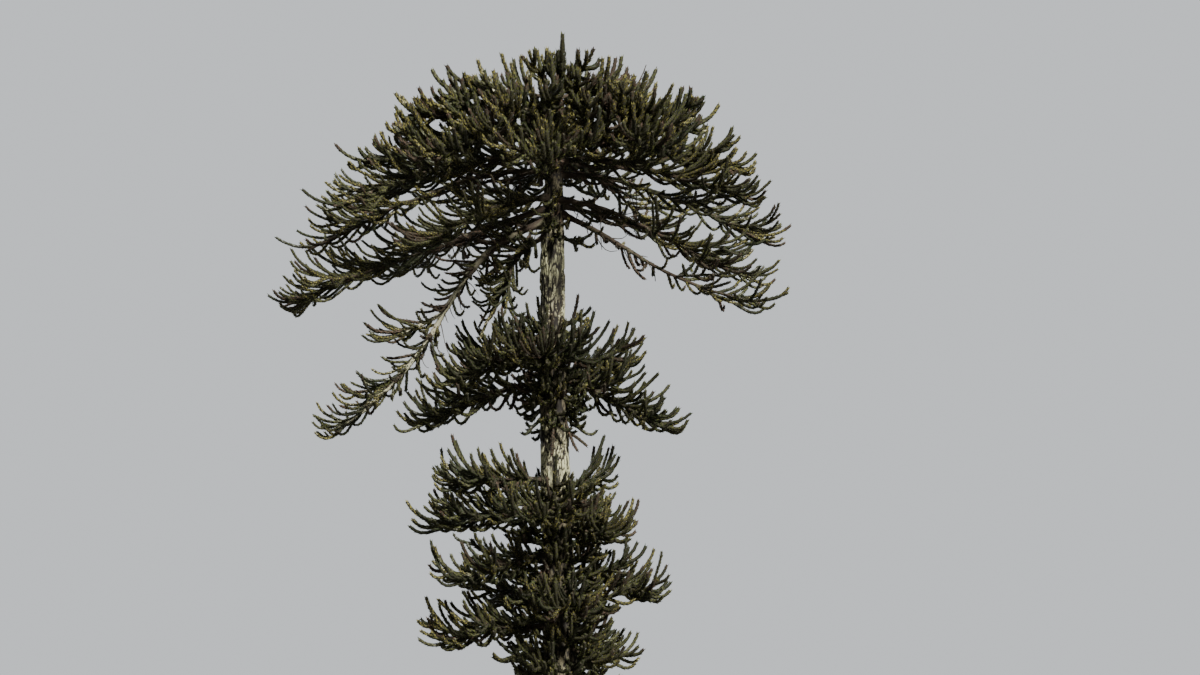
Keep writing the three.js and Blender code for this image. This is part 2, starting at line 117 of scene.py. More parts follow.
# The limbs grow in tiers. A tier gives the slopes in degrees at which its limbs leave the trunk and
# end, their radius at the foot, the share of their length that is bare bough, the side twigs in the
# foliage, how far these spread, the sprays on the stem itself, and how strongly the sprays turn up.
# Each limb of a tier: the way it points (degrees from +X, 90 is away from the viewer), the height
# where it leaves the trunk, how far out and how high its tip is, and what differs from its tier.
# Lengths are in millimetres, as in the source.
TIER_WORDS = ("leave", "arrive", "foot", "bare", "twigs", "fan", "sprays", "lift")
TIERS = {
    "low": (
        (-6, -22, 80, 0.46, 3, 700, 3, 1.1),
        {
            "low_left": (184, 11480, 4280, 9820, {"leave": -16, "bare": 0.5, "sprays": 4}),
            "low_right": (351, 11420, 3350, 9850,
                          {"leave": -22, "arrive": -12, "bare": 0.52, "fan": 560, "lift": 0.5}),
            "low_front_right": (320, 11600, 3450, 10250, {}),
            "low_back_right": (26, 11530, 3650, 10450, {}),
            "low_back_left": (140, 11300, 3400, 10750, {"leave": 2}),
            "low_front_left": (221, 11640, 2600, 10700, {"bare": 0, "fan": 600}),
        },
    ),
    "broad": (
        (8, -16, 78, 0, 3, 740, 4, 1.25),
        {
            "left_sweep": (176, 12060, 4000, 10780, {"leave": 4, "arrive": -28, "bare": 0.5}),
            "right_sweep": (4, 12000, 3330, 11000, {"leave": 4, "arrive": -24, "bare": 0.46}),
            "upper_left": (160, 12320, 3750, 11600, {}),
            "left_front": (206, 12220, 3800, 11250, {"arrive": -22}),
            "right_front": (340, 12200, 3350, 11420, {"arrive": -20}),
            "back_left": (112, 12160, 3500, 11500, {}),
            "back_right": (60, 12240, 3500, 11500, {}),
        },
    ),
    "shoulder": (
        (13, -12, 62, 0, 3, 700, 4, 1.35),
        {
            "shoulder_left": (181, 12700, 3080, 12180, {}),
            "shoulder_front_left": (232, 12560, 3050, 12000, {}),
            "shoulder_front": (268, 12430, 3250, 11700, {}),
            "shoulder_front_right": (306, 12620, 3050, 12000, {}),
            "shoulder_right": (356, 12500, 2850, 12060, {}),
            "shoulder_back": (86, 12720, 2850, 12350, {}),
        },
    ),
    "top": (
        (22, 2, 46, 0, 3, 560, 3, 1.8),
        {
            "top_left": (190, 12990, 2420, 12900, {}),
            "top_front_left": (250, 12870, 2250, 12750, {}),
            "top_front_right": (312, 12990, 2250, 12800, {}),
            "top_right": (6, 12870, 2180, 12800, {}),
            "top_back": (98, 12950, 2150, 12950, {}),
        },
    ),
    "crest": (
        (34, 12, 42, 0, 2, 400, 4, 2.4),
        {
            "crest_left": (168, 13180, 1650, 13440, {}),
            "crest_front": (275, 13120, 1250, 13400, {}),
            "crest_right": (25, 13220, 1400, 13420, {}),
        },
    ),
    "leader": (
        (90, 88, 33, 0, 0, 0, 8, 1.0),
        {
            "leader": (200, TRUNK_TOP / MM + JOINT_GAP, 25, 13580,
                       {"size": 0.66, "rolls": (0, 75, 145, 220, 290, 35)}),
        },
    ),
    "hanging": (
        (-20, -24, 66, 0, 2, 380, 4, 0.8),
        {
            "hanging": (197, 11240, 3500, 7900, {"leave": -10, "bare": 0.66, "twigs": 3, "fan": 420}),
            "hanging_tuft": (205, 0, 700, 9330, {"on": "hanging", "at": 0.5, "foot": 38, "twigs": 1}),
            "hanging_short": (205, 11060, 950, 9980, {"arrive": -70, "fan": 320, "lift": -0.4}),
        },
    ),
    "middle": (
        (14, -2, 60, 0, 3, 480, 3, 1.7),
        {
            "middle_left": (184, 8620, 2050, 7980,
                            {"leave": 6, "arrive": -22, "fan": 560, "sprays": 4}),
            "middle_left_upper": (205, 8980, 1600, 8650, {"arrive": -12}),
            "middle_back_left": (140, 9120, 1450, 9060, {}),
            "middle_front": (262, 8900, 1100, 8980, {"leave": 24, "arrive": 6, "sprays": 4}),
            "middle_right": (350, 8700, 1620, 7960,
                             {"leave": 0, "arrive": -22, "sprays": 4, "lift": 1.1}),
            "middle_right_upper": (16, 9000, 1050, 8950,
                                   {"leave": 20, "arrive": 4, "twigs": 2, "sprays": 4}),
            "middle_back": (80, 8840, 1350, 8760, {}),
        },
    ),
    "skirt": (
        (10, -6, 58, 0, 3, 520, 3, 1.6),
        {
            "skirt_upper_left": (188, 7060, 1500, 7040, {"arrive": 0}),
            "skirt_upper_right": (350, 6960, 480, 7040,
                                  {"leave": 24, "arrive": 16, "twigs": 2, "fan": 240, "lift": 2}),
            "skirt_left": (172, 6480, 1880, 6400, {}),
            "skirt_front": (262, 6700, 1350, 6420, {}),
            "skirt_right": (338, 6280, 850, 6200, {"fan": 420}),
            "skirt_back": (84, 6560, 1450, 6360, {}),
            "skirt_front_left": (212, 5860, 1700, 5500, {"arrive": -12}),
            "skirt_right_lower": (6, 5560, 1350, 5280, {"fan": 380}),
            "skirt_back_lower": (130, 5500, 1400, 5160, {}),
            "skirt_front_lower": (290, 5300, 1150, 4980, {"arrive": -12}),
            "foot_left": (190, 4760, 1750, 4520, {"leave": 2, "arrive": -12, "fan": 420, "lift": 0.9}),
            "foot_right": (325, 4460, 700, 4180, {"leave": 4, "arrive": -14, "twigs": 2, "fan": 400}),
            "foot_back": (70, 4380, 1050, 4080, {"leave": 4, "arrive": -12, "twigs": 2, "fan": 460}),
        },
    ),
}

# The masses are dressed in three regions, so that every piece keeps a size that exports well.
REGIONS = {
    "brim": ("low", "broad"),
    "dome": ("shoulder", "top", "crest", "leader"),
    "bole": ("hanging", "middle", "skirt"),
}
LICHENED = ("hanging", "hanging_tuft")  # limbs whose bark is grey with lichen

UP = np.array((0.0, 0.0, 1.0))
ALONG_X = np.array((1.0, 0.0, 0.0))


def lerp(low, high, share):
    return low + (high - low) * share


def unit(vector):
    return vector / np.linalg.norm(vector)


def seeded(key):
    """A number from 0 to 1 that depends on the key alone, the same as in the source."""
    mask = 0xFFFFFFFF
    t = (key + 0x6D2B79F5) & mask
    t = ((t ^ (t >> 15)) * (t | 1)) & mask
    t ^= (t + (((t ^ (t >> 7)) * (t | 61)) & mask)) & mask
    return ((t ^ (t >> 14)) & mask) / 4294967296


def vary(limb, item, use, low, high):
    """A number that depends only on the limb, the item on it and the use it is put to."""
    key = SEED + limb["index"] * 4096 + item * 16 + use
    if item >= FINE:
        key += (limb["index"] + 1) * FINE_KEYS
    return lerp(low, high, seeded(key))


def trunk_centre(height):
    share = height / TRUNK_TOP
    x = LEAN * share + SWAY * math.sin(2 * math.pi * share)
    y = SWAY * 0.6 * math.sin(math.pi * share)
    return np.array((x, y, height))


def trunk_radius(height):
    if height > CROWN_FOOT:
        return lerp(CROWN_RADIUS, TOP_RADIUS, (height - CROWN_FOOT) / (TRUNK_TOP - CROWN_FOOT))
    return lerp(GROUND_RADIUS, CROWN_RADIUS, height / CROWN_FOOT)


def flare_at(height, angle):
    share = max(0.0, 1 - height / FLARE_HEIGHT)
    return FLARE * share**2.4 * (0.72 + 0.28 * math.cos(FLARE_LOBES * angle + 0.6))


class Path:
    """A Bezier curve through three or four control points."""

    def __init__(self, *controls):
        self.controls = np.array(controls)

    def points(self, shares):
        t = np.atleast_1d(np.asarray(shares, dtype=float))[:, None]
        rows = list(self.controls[:, None, :])
        while len(rows) > 1:
            rows = [a * (1 - t) + b * t for a, b in zip(rows, rows[1:])]
        return rows[0]

    def point(self, share):
        return self.points(share)[0]

    def length(self):
        steps = np.diff(self.points(np.linspace(0, 1, 201)), axis=0)
        return float(np.linalg.norm(steps, axis=1).sum())

    def frame(self, share):
        """The point at a share of the curve, the way forward, and the directions right and over."""
        step = 1e-4
        along = unit(self.point(min(share + step, 1)) - self.point(max(share - step, 0)))
        side = unit(np.cross(along, ALONG_X if abs(along[2]) > 0.97 else UP))
        return self.point(share), along, side, np.cross(side, along)


def limb_path(limb, start):
    angle = math.radians(limb["az"])
    out = np.array((math.cos(angle), math.sin(angle), 0))

    def slope(degrees):
        return out * math.cos(math.radians(degrees)) + UP * math.sin(math.radians(degrees))

    tip = start + out * limb["reach"]
    tip[2] = limb["tip"]
    handle = np.linalg.norm(tip - start) * 0.36
    leaving = start + slope(limb["leave"]) * handle
    return Path(start, leaving, tip - slope(limb["arrive"]) * handle, tip)


def limb_radius(limb, share):
    entry = max(limb["bare"], 0.35)
    entry_radius = min(ENTRY_RADIUS, limb["foot"])
    if share < entry:
        return lerp(limb["foot"], entry_radius, share / entry)
    return lerp(entry_radius, min(STEM_TIP_RADIUS, limb["foot"]), (share - entry) / (1 - entry))


def twig_path(limb, number, reach):
    """A side twig leaves its stem forwards and to one side, levels out, and turns up."""
    share = (number + 0.5) / limb["twigs"]
    at = lerp(max(limb["bare"], 0.1), 1, 0.08 + 0.74 * share)
    start, along, side, over = limb["path"].frame(at)
    hand = 1 if number % 2 == 0 else -1
    angle = math.radians(TWIG_ANGLE + vary(limb, number, 1, -9, 9))
    way = along * math.cos(angle) + side * hand * math.sin(angle)
    way = unit(way + over * vary(limb, number, 2, -0.15, 0.25))
    fan = limb["fan"] * (1.15 - 0.4 * share) * vary(limb, number, 3, 0.85, 1.15)
    length = (fan + SPRAY_LENGTH * 0.8) * reach
    onward = unit(way + along * 0.3 + UP * 0.1)
    upward = unit(onward + UP * limb["lift"] * 0.8)
    leaving, level, rising = TWIG_LEGS
    near = start + way * length * leaving
    far = near + onward * length * level
    return Path(start, near, far, far + upward * length * rising)


def spray_path(limb, parent, item, seat, reach):
    """A spray leaves its parent at an angle, on the side that roll gives, then turns up."""
    share, roll, angle = seat
    start, along, side, over = parent.frame(share)
    turn = math.radians(roll + vary(limb, item, 4, -16, 16))
    lean = math.radians(angle + vary(limb, item, 5, -6, 6))
    way = along * math.cos(lean) + side * math.cos(turn) * math.sin(lean)
    way = way + over * math.sin(turn) * math.sin(lean)
    length = SPRAY_LENGTH * limb.get("size", 1) * vary(limb, item, 6, 0.82, 1.18) * reach
    leaving, rising = SPRAY_LEGS
    middle = start + way * length * leaving
    onward = unit(way + UP * limb["lift"])
    return Path(start, middle, middle + onward * length * rising)


def spray_seats(limb):
    """Where the sprays sit: along the stem, at its tip, and one on each side twig."""
    seats = []
    rolls = limb.get("rolls", STEM_ROLLS)
    for i in range(limb["sprays"]):
        share = (i + 0.5) / limb["sprays"]
        at = lerp(max(limb["bare"], 0.15), 1, 0.1 + 0.74 * share)
        seats.append((limb["path"], (at, rolls[i % len(rolls)], lerp(56, 36, share))))
    seats += [(limb["path"], seat) for seat in STEM_TIP_SPRAYS]
    seats += [(twig, TWIG_SPRAYS[i % 2]) for i, twig in enumerate(limb["twig_paths"])]
    return seats


class Standing:
    """What already stands somewhere: straight runs with a radius and an owner."""

    ROWS = 40000  # room for every run of the tree

    def __init__(self):
        self.start = np.zeros((self.ROWS, 3))
        self.end = np.zeros((self.ROWS, 3))
        self.radius = np.zeros(self.ROWS)
        self.owner = np.zeros(self.ROWS, dtype=int)
        self.outer = np.zeros(self.ROWS, dtype=bool)
        self.count = 0

    def add(self, runs):
        owner, start, end, radius, outer = runs
        rows = slice(self.count, self.count + len(start))
        self.start[rows], self.end[rows], self.radius[rows] = start, end, radius
        self.owner[rows], self.outer[rows] = owner, outer
        self.count = rows.stop

    def is_clear(self, runs):
        """Within one owner only the outer parts keep clear of each other."""
        owner, start, end, radius, outer = runs
        low = np.minimum(start, end).min(axis=0) - radius.max() - CLEARANCE
        high = np.maximum(start, end).max(axis=0) + radius.max() + CLEARANCE
        a, b = self.start[: self.count], self.end[: self.count]
        reach = self.radius[: self.count, None]
        close = np.all((np.minimum(a, b) - reach < high) & (np.maximum(a, b) + reach > low), axis=1)
        rows = np.flatnonzero(close)
        if not len(rows):
            return True
        gap = distance_squared(start[:, None], end[:, None], a[rows][None], b[rows][None])
        room = radius[:, None] + self.radius[rows][None] + CLEARANCE
        kin = (self.owner[rows][None] == owner) & ~(outer[:, None] & self.outer[rows][None])
        return bool(np.all(kin | (gap > room * room)))


def distance_squared(p1, q1, p2, q2):
    """Squared distance between straight runs, from p1 to q1 and from p2 to q2."""
    d1, d2, r = q1 - p1, q2 - p2, p1 - p2
    a, e, f = (d1 * d1).sum(-1), (d2 * d2).sum(-1), (d2 * r).sum(-1)
    c, b = (d1 * r).sum(-1), (d1 * d2).sum(-1)
    spread = a * e - b * b
    s = np.where(spread > 1e-12, np.clip((b * f - c * e) / np.maximum(spread, 1e-12), 0, 1), 0)
    t = (b * s + f) / e
    s = np.where(t < 0, np.clip(-c / a, 0, 1), np.where(t > 1, np.clip((b - c) / a, 0, 1), s))
    t = np.clip(t, 0, 1)
    apart = r + d1 * s[..., None] - d2 * t[..., None]
    return (apart * apart).sum(-1)


def runs_of(owner, path, low, high, pieces, radius_at):
    shares = np.linspace(low, high, pieces + 1)
    points = path.points(shares)
    radii = np.array([radius_at(share) for share in shares])
    radius = np.maximum(radii[:-1], radii[1:])
    return owner, points[:-1], points[1:], radius, shares[:-1] > FREE_FROM


def grow_with_room(standing, owner, make_path, radius_at):
    for reach in REACHES:
        path = make_path(reach)
        runs = runs_of(owner, path, 0.06, 1, 5, radius_at)
        if standing.is_clear(runs):
            standing.add(runs)
            return path
    return None


def trunk_runs():
    heights = np.array(TRUNK_RINGS)
    centres = np.array([trunk_centre(height) for height in heights])
    radius = [trunk_radius(height) + flare_at(height, -0.6 / FLARE_LOBES) for height in heights[:-1]]
    none = np.zeros(len(radius), dtype=bool)
    return TRUNK_OWNER, centres[:-1], centres[1:], np.array(radius), none


def limb_runs(limb):
    """The runs of a limb's bare bough, which nothing may touch, and of its stem in the foliage."""
    def radius_at(share):
        return limb_radius(limb, share)

    if limb["bare"]:
        yield runs_of(limb["index"] + BARE_OWNER, limb["path"], 0, limb["bare"], 6, radius_at)
    owner, start, end, radius, outer = runs_of(
        limb["index"], limb["path"], limb["bare"], 1, 6, radius_at)
    yield owner, start, end, radius, np.zeros_like(outer)


@functools.cache
def grown_limbs():
    """Every limb with its path, side twigs and sprays, exactly as the source grows them."""
    limbs = {}
    standing = Standing()
    standing.add(trunk_runs())
    for tier, (common, rows) in TIERS.items():
        for name, (az, low, reach, tip, own) in rows.items():
            limb = dict(zip(TIER_WORDS, common)) | own
            limb |= {"name": name, "tier": tier, "az": az, "index": len(limbs)}
            limb |= {"reach": reach * MM, "tip": tip * MM, "foot": limb["foot"] * MM}
            limb["fan"] *= MM
            carrier = limbs.get(limb.get("on"))
            start = carrier["path"].point(limb["at"]) if carrier else trunk_centre(low * MM)
            limb["path"] = limb_path(limb, start)
            limbs[name] = limb
            for runs in limb_runs(limb):
                standing.add(runs)
    for limb in limbs.values():
        paths = (
            grow_with_room(
                standing, limb["index"], functools.partial(twig_path, limb, number),
                lambda share: TWIG_RADIUS if share < TWIG_TURN else SPRAY_RADIUS)
            for number in range(limb["twigs"])
        )
        limb["twig_paths"] = [path for path in paths if path]
    for limb in limbs.values():
        limb["sprays_grown"] = []
        for i, (parent, seat) in enumerate(spray_seats(limb)):
            make = functools.partial(spray_path, limb, parent, 100 + i, seat)
            path = grow_with_room(standing, limb["index"], make, lambda share: SPRAY_RADIUS)
            if path:
                limb["sprays_grown"].append((path, parent, 100 + i, seat))
    return limbs


# The finer growth: single shoots, each a rope of overlapping leaves

SHOOT_POINTS = 7
SHOOT_LEGS = (0.4, 0.3, 0.36)  # the shares of a shoot that run straight on, sag and hook up
CROWDED = 0.36  # share of a shoot within which the shoots of one limb may crowd each other
INNER_HALF = 0.45  # share of a limb along which shoots hang from it
SHOOT_ROOM = 0.03  # half the least distance between two shoots of the usual stoutness
BARK_ROOM = 0.022  # what the leaves need between a shoot and the bark beside it
BOX_SLACK = 0.1  # how far a shoot may stand out of the box of its solid
LEADER_SLACK = 0.35  # the same at the tree's tip, where the leading shoot's solid is slim
HANGING_ROOM = 0.42  # how far shoots stand out from the inner half of a limb
# How each tier is filled: shoots beside a spray, on a side twig, on each metre of stem and on each
# metre of bare limb, their usual size, how strongly they turn up at the tip, how stout they are, and
# how widely they spread
FILLING_WORDS = ("beside", "on_twig", "on_stem", "on_bare", "size", "hook", "stout", "spread")
FILLING = {
    "low": (3, 11, 13, 8, 1.25, 1.0, 0.9, 0.6),
    "broad": (3, 11, 13, 8, 1.18, 1.05, 0.94, 0.66),
    "shoulder": (3, 12, 17, 8, 0.86, 1.8, 1.2, 1.0),
    "top": (4, 13, 22, 8, 0.76, 2.6, 1.3, 1.1),
    "crest": (4, 13, 24, 0, 0.86, 3.0, 1.3, 1.1),
    "leader": (6, 0, 70, 0, 1.15, 2.4, 1.15, 0.6),
    "hanging": (2, 7, 9, 24, 1.0, 1.1, 0.84, 0.85),
    "middle": (3, 12, 20, 12, 1.0, 1.35, 1.0, 0.95),
    "skirt": (3, 12, 23, 16, 0.8, 1.25, 1.04, 1.0),
}
OWN_FILLING = {  # what differs on limbs that the sky shows through, and on a dense one
    "hanging_short": {"beside": 5, "on_twig": 12, "on_stem": 24},
    "low_right": {"beside": 1, "on_twig": 5, "on_stem": 6, "size": 0.8, "hook": 1.2, "spread": 1.0},
    "low_front_right": {"beside": 2, "on_twig": 6, "on_stem": 6, "on_bare": 5},
    "low_back_right": {"beside": 1, "on_twig": 5, "on_stem": 6},
    "right_sweep": {"beside": 2, "on_twig": 7, "on_stem": 9},
    "back_right": {"beside": 2, "on_twig": 7, "on_stem": 8},
}
# Shoots that sprout from the trunk itself, each with side shoots of its own: the lowest and the
# highest, how many, between which slopes in degrees they leave, and their usual size
TRUNK_SHOOTS = (
    ("broad", 10.95, 12.6, 48, -58, -10, 0.75),
    ("middle", 8.3, 9.6, 120, -45, 26, 0.75),
    ("middle", 8.05, 8.5, 40, -74, -40, 0.6),
    ("skirt", 3.9, 7.0, 290, -30, 26, 0.95),
)
DEAD_SHOOTS = ("middle", 7.95, 8.4, 16, -84, -66, 0.7)  # the same, under the middle tier
DEAD_HOOK = -0.4
SPROUT_INDEX = 60  # the number of the first set of sprouts, as if it were one more limb
SPROUT_ITEMS = 8  # numbers kept for each sprout and its side shoots
SPROUT_FOOT = 0.8  # share of the trunk's radius where a sprout starts
SIDE_SHOOTS = (0.3, 0.45, 0.6)  # the shares of a sprout where its side shoots leave
GOLDEN_TURN = 0.618  # of a full turn, between a shoot round a stem or twig and the next
SPROUT_TURN = 137.5  # degrees between a sprout round the trunk and the next
# The dome over the crown, which no finer shoot passes, and how far it leans to the right
DOME_MIDDLE = np.array((-0.45, 0.0, 9.0))
DOME_REACH = np.array((4.3, 4.4, 5.05))
DOME_LEAN = 0.12
# More gold olive and less deep green at the top of the crown stand partly for painted sunlight, and
# the reverse low down partly for painted shade
TONES = {  # the colour of a whole shoot: its share low in the crown and at the top
    "deep_green": (0.36, 0.26),
    "olive": (0.34, 0.36),
    "gold_olive": (0.12, 0.22),
    "dry_brown": (0.18, 0.16),
}
# Tips of another colour than their shoot: the share of shoots that have them low in the crown and at
# the top, and how many pieces of the line they take. Yellow tips are dealt out more at the top, partly
# as painted sunlight
TIP_TONES = {"dry_brown": (0.06, 0.15, 1), "gold_olive": (0.12, 0.26, 2)}
SHADY_HEIGHT, SUNNY_HEIGHT = 9.5, 13.5  # where the shares change from low in the crown to the top
PATCH_RATE, PATCH_CONTRAST, PATCH_SHARE = 1.7, 1.25, 0.55  # patches of one colour on each metre
HANGING_DRYNESS = 0.4  # share of the hanging shoots that are dry
STEM_TONE_LENGTH, STEM_DRYNESS = 0.5, 0.55  # old leaves on a stem: metres of one colour, dry share
STEM_ITEM = 90  # the number of a stem's first length of old leaves


def shoot_tone(limb, item, tip, dryness):
    """Deals out the colours in patches: yellower towards the top, partly as painted sunlight, and
    darker green and browner low down, partly as painted shade.
    """
    if limb.get("dead") or vary(limb, item, 14, 0, 1) < dryness:
        return "dry_brown"
    sunny = sunniness(tip)
    patch = min(max(0.5 + PATCH_CONTRAST * noise.noise(Vector(tip) * PATCH_RATE), 0), 1)
    left = lerp(vary(limb, item, 12, 0, 1), patch, PATCH_SHARE)
    for tone, (low, high) in TONES.items():
        left -= lerp(low, high, sunny)
        if left < 0:
            return tone
    return "dry_brown"


def sunniness(tip):
    """How far up the crown a tip is, from 0 to 1."""
    return min(max((tip[2] - SHADY_HEIGHT) / (SUNNY_HEIGHT - SHADY_HEIGHT), 0), 1)


def tip_tone(limb, item, tip):
    """Young tips are yellower, and some have died back: the colour, and the pieces that have it."""
    left = vary(limb, item, 3, 0, 1)
    for tone, (low, high, pieces) in TIP_TONES.items():
        left -= lerp(low, high, sunniness(tip))
        if left < 0:
            return tone, pieces
    return "", 0


def filling(limb):
    return dict(zip(FILLING_WORDS, FILLING[limb["tier"]])) | OWN_FILLING.get(limb["name"], {})


def hooked_path(limb, start, way, item, length, hook):
    """A shoot runs straight on, sags a little, and hooks up at its tip."""
    sag = unit(way - UP * vary(limb, item, 11, 0.05, 0.3))
    level = unit(np.array((way[0], way[1], max(way[2], -0.3))))
    rising = unit(level * 0.7 + UP * hook * vary(limb, item, 13, 0.6, 1.25))
    straight, sagging, hooked = SHOOT_LEGS
    near = start + way * length * straight
    far = near + sag * length * sagging
    return Path(start, near, far, far + rising * length * hooked)


def shoot_path(limb, parent, item, seat, reach):
    share, roll, angle, hook = seat
    start, along, side, over = parent.frame(share)
    turn, lean = math.radians(roll), math.radians(angle)
    way = along * math.cos(lean) + side * math.cos(turn) * math.sin(lean)
    way = way + over * math.sin(turn) * math.sin(lean)
    length = SPRAY_LENGTH * limb.get("size", 1) * reach
    return hooked_path(limb, start, way, item, length, hook)


def trunk_shoot_path(limb, _, item, seat, reach):
    """A shoot that sprouts from the trunk itself, so that it has no parent."""
    height, azimuth, pitch, hook = seat
    angle = math.radians(azimuth)
    out = np.array((math.cos(angle), math.sin(angle), 0))
    start = trunk_centre(height) + out * trunk_radius(height) * SPROUT_FOOT
    way = unit(out + UP * math.tan(math.radians(pitch)))
    return hooked_path(limb, start, way, item, SPRAY_LENGTH * reach, hook)


def fine_seats(limb):
    """Seats of the finer shoots: the number of each, its parent, seat, size and dryness."""
    fill = filling(limb)
    hook, spread = fill["hook"], fill["spread"]
    item = FINE
    # beside each spray
    for _, parent, _, (share, roll, angle) in limb["sprays_grown"]:
        for _ in range(fill["beside"]):
            item += 1
            seat = (
                min(max(share + vary(limb, item, 7, -0.1, 0.08), 0.04), 0.98),
                roll + vary(limb, item, 8, -75, 75),
                (angle + vary(limb, item, 9, -18, 10)) * spread,
                hook,
            )
            yield item, parent, seat, vary(limb, item, 10, 0.75, 1.15) * fill["size"], 0
    # round each side twig
    for twig in limb["twig_paths"]:
        for n in range(fill["on_twig"]):
            item += 1
            share = lerp(0.2, 0.9, (n + 0.5) / fill["on_twig"])
            roll = 360 * ((n * GOLDEN_TURN) % 1) + vary(limb, item, 8, -22, 22)
            seat = (share, roll, lerp(54, 26, share) * spread, hook)
            yield item, twig, seat, vary(limb, item, 10, 0.65, 1.05) * fill["size"], 0
    # round the stem, from just outside what carries it
    length = limb["path"].length()
    foot = (trunk_radius(limb["path"].point(0)[2]) + 0.04) / length
    if limb.get("on"):
        foot = 0.1
    low = max(limb["bare"] - 0.04, foot)
    count = round(length * (1 - low) * fill["on_stem"])
    for n in range(count):
        item += 1
        share = lerp(low, 0.98, ((n + 0.5) / count) ** 0.8)
        angle = lerp(64, 24, (n + 0.5) / count) + vary(limb, item, 9, -10, 10)
        seat = (share, 360 * ((n * GOLDEN_TURN) % 1), angle * spread, hook)
        yield item, limb["path"], seat, vary(limb, item, 10, 0.65, 1.15) * fill["size"], 0
    # shoots that hang from the inner half of the limb, all round it only where the limb itself hangs
    lowest_roll, highest_roll = (0, 360) if limb["tier"] == "hanging" else (170, 370)
    high = max(limb["bare"], INNER_HALF)
    count = round(length * (high - foot) * fill["on_bare"])
    for n in range(count):
        item += 1
        share = lerp(foot, high, (n + 0.5) / count)
        roll = vary(limb, item, 8, lowest_roll, highest_roll)
        angle = vary(limb, item, 9, 40, 82) * min(spread, 1) ** 2
        seat = (share, roll, angle, hook * vary(limb, item, 14, 0.2, 1.3))
        size = vary(limb, item, 10, 0.45, 0.95) * fill["size"]
        yield item, limb["path"], seat, size, HANGING_DRYNESS


def trunk_seats():
    """Where shoots sprout from the trunk, numbered as if each set of them were one more limb's."""
    for n, (tier, *sprouting) in enumerate((*TRUNK_SHOOTS, DEAD_SHOOTS)):
        sprouts = {"name": "trunk", "tier": tier, "index": SPROUT_INDEX + n, "owner": TRUNK_OWNER}
        sprouts["dead"] = n == len(TRUNK_SHOOTS)
        sprouts["hook"] = DEAD_HOOK if sprouts["dead"] else filling(sprouts)["hook"]
        yield from seats_up_the_trunk(sprouts, *sprouting)


def seats_up_the_trunk(sprouts, low, high, count, falling, rising, size):
    for n in range(count):
        item = FINE + SPROUT_ITEMS * n
        height = lerp(low, high, (n + vary(sprouts, item, 7, 0, 1)) / count)
        azimuth = SPROUT_TURN * n + vary(sprouts, item, 8, -20, 20)
        seat = (height, azimuth, vary(sprouts, item, 9, falling, rising), sprouts["hook"])
        yield sprouts, item, seat, vary(sprouts, item, 10, 0.7, 1.2) * size


def side_seats(sprouts, item, size):
    for n, share in enumerate(SIDE_SHOOTS):
        own = item + 1 + n
        roll = 120 * n + vary(sprouts, own, 8, -40, 40)
        seat = (share, roll, lerp(52, 34, share), sprouts["hook"])
        yield own, seat, size * vary(sprouts, own, 10, 0.55, 0.85)


def in_reach(points, boxes):
    """Whether a line stays in the boxes of its limb's solids and under the dome of the crown."""
    out = points - DOME_MIDDLE
    out[:, 2] = np.maximum(out[:, 2], 0)
    out[:, 0] -= DOME_LEAN * out[:, 2]
    out /= DOME_REACH
    if np.any((out * out).sum(axis=1) > 1):
        return False
    return bool(np.all(np.any([
        np.all((points >= low) & (points <= high), axis=1) for low, high in boxes], axis=0)))


@dataclasses.dataclass
class Shoot:
    """A line that leaves grow along: its colour, its radius under the leaves at each point, and the
    part of the whole shoot that it spans."""

    limb: dict
    points: np.ndarray
    tone: str
    girth: np.ndarray
    span: tuple = (0, 1)
    is_stem: bool = False


def fine_runs(limb, points):
    """The runs of a shoot. Near their feet the shoots of one limb may crowd each other."""
    outer = np.arange(len(points) - 1) >= CROWDED * len(points)
    radius = np.full(len(outer), SHOOT_ROOM * filling(limb)["stout"])
    return limb.get("owner", limb["index"]), points[:-1], points[1:], radius, outer


def with_room(runs, owner):
    """Bark as the shoots see it: it needs room for their leaves, but not from its own shoots."""
    _, start, end, radius, outer = runs
    return owner, start, end, radius + BARK_ROOM, np.full_like(outer, owner == TRUNK_OWNER)


def mass_boxes(limb):
    """Where the shoots of a limb may reach: round the box of its foliage, and near its inner half."""
    low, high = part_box(limb["name"] + "_foliage")
    slack = LEADER_SLACK if limb["tier"] == "leader" else BOX_SLACK
    yield np.array(low) - slack, np.array(high) + slack
    if filling(limb)["on_bare"]:
        shares = np.linspace(0, max(limb["bare"], INNER_HALF), 9)
        points = limb["path"].points(shares)
        for a, b in zip(points, points[1:]):
            room = np.full(3, HANGING_ROOM)
            yield np.minimum(a, b) - room - UP * HANGING_ROOM, np.maximum(a, b) + room


def stem_shoots(limb):
    """The old leaves that stay on a limb's stem, in lengths of one colour each."""
    length = limb["path"].length()
    low = max(limb["bare"] * 0.7, 0.12)
    count = max(2, round(length * (1 - low) / STEM_TONE_LENGTH))
    for n in range(count):
        shares = np.linspace(lerp(low, 1, n / count), lerp(low, 1, (n + 1) / count), 6)
        girth = np.array([limb_girth(limb, share, length) for share in shares]) * 0.9
        dry = vary(limb, STEM_ITEM + n, 12, 0, 1) < STEM_DRYNESS
        tone = "dry_brown" if dry else "deep_green"
        yield Shoot(limb, limb["path"].points(shares), tone, girth, (0.2, 0.8), True)


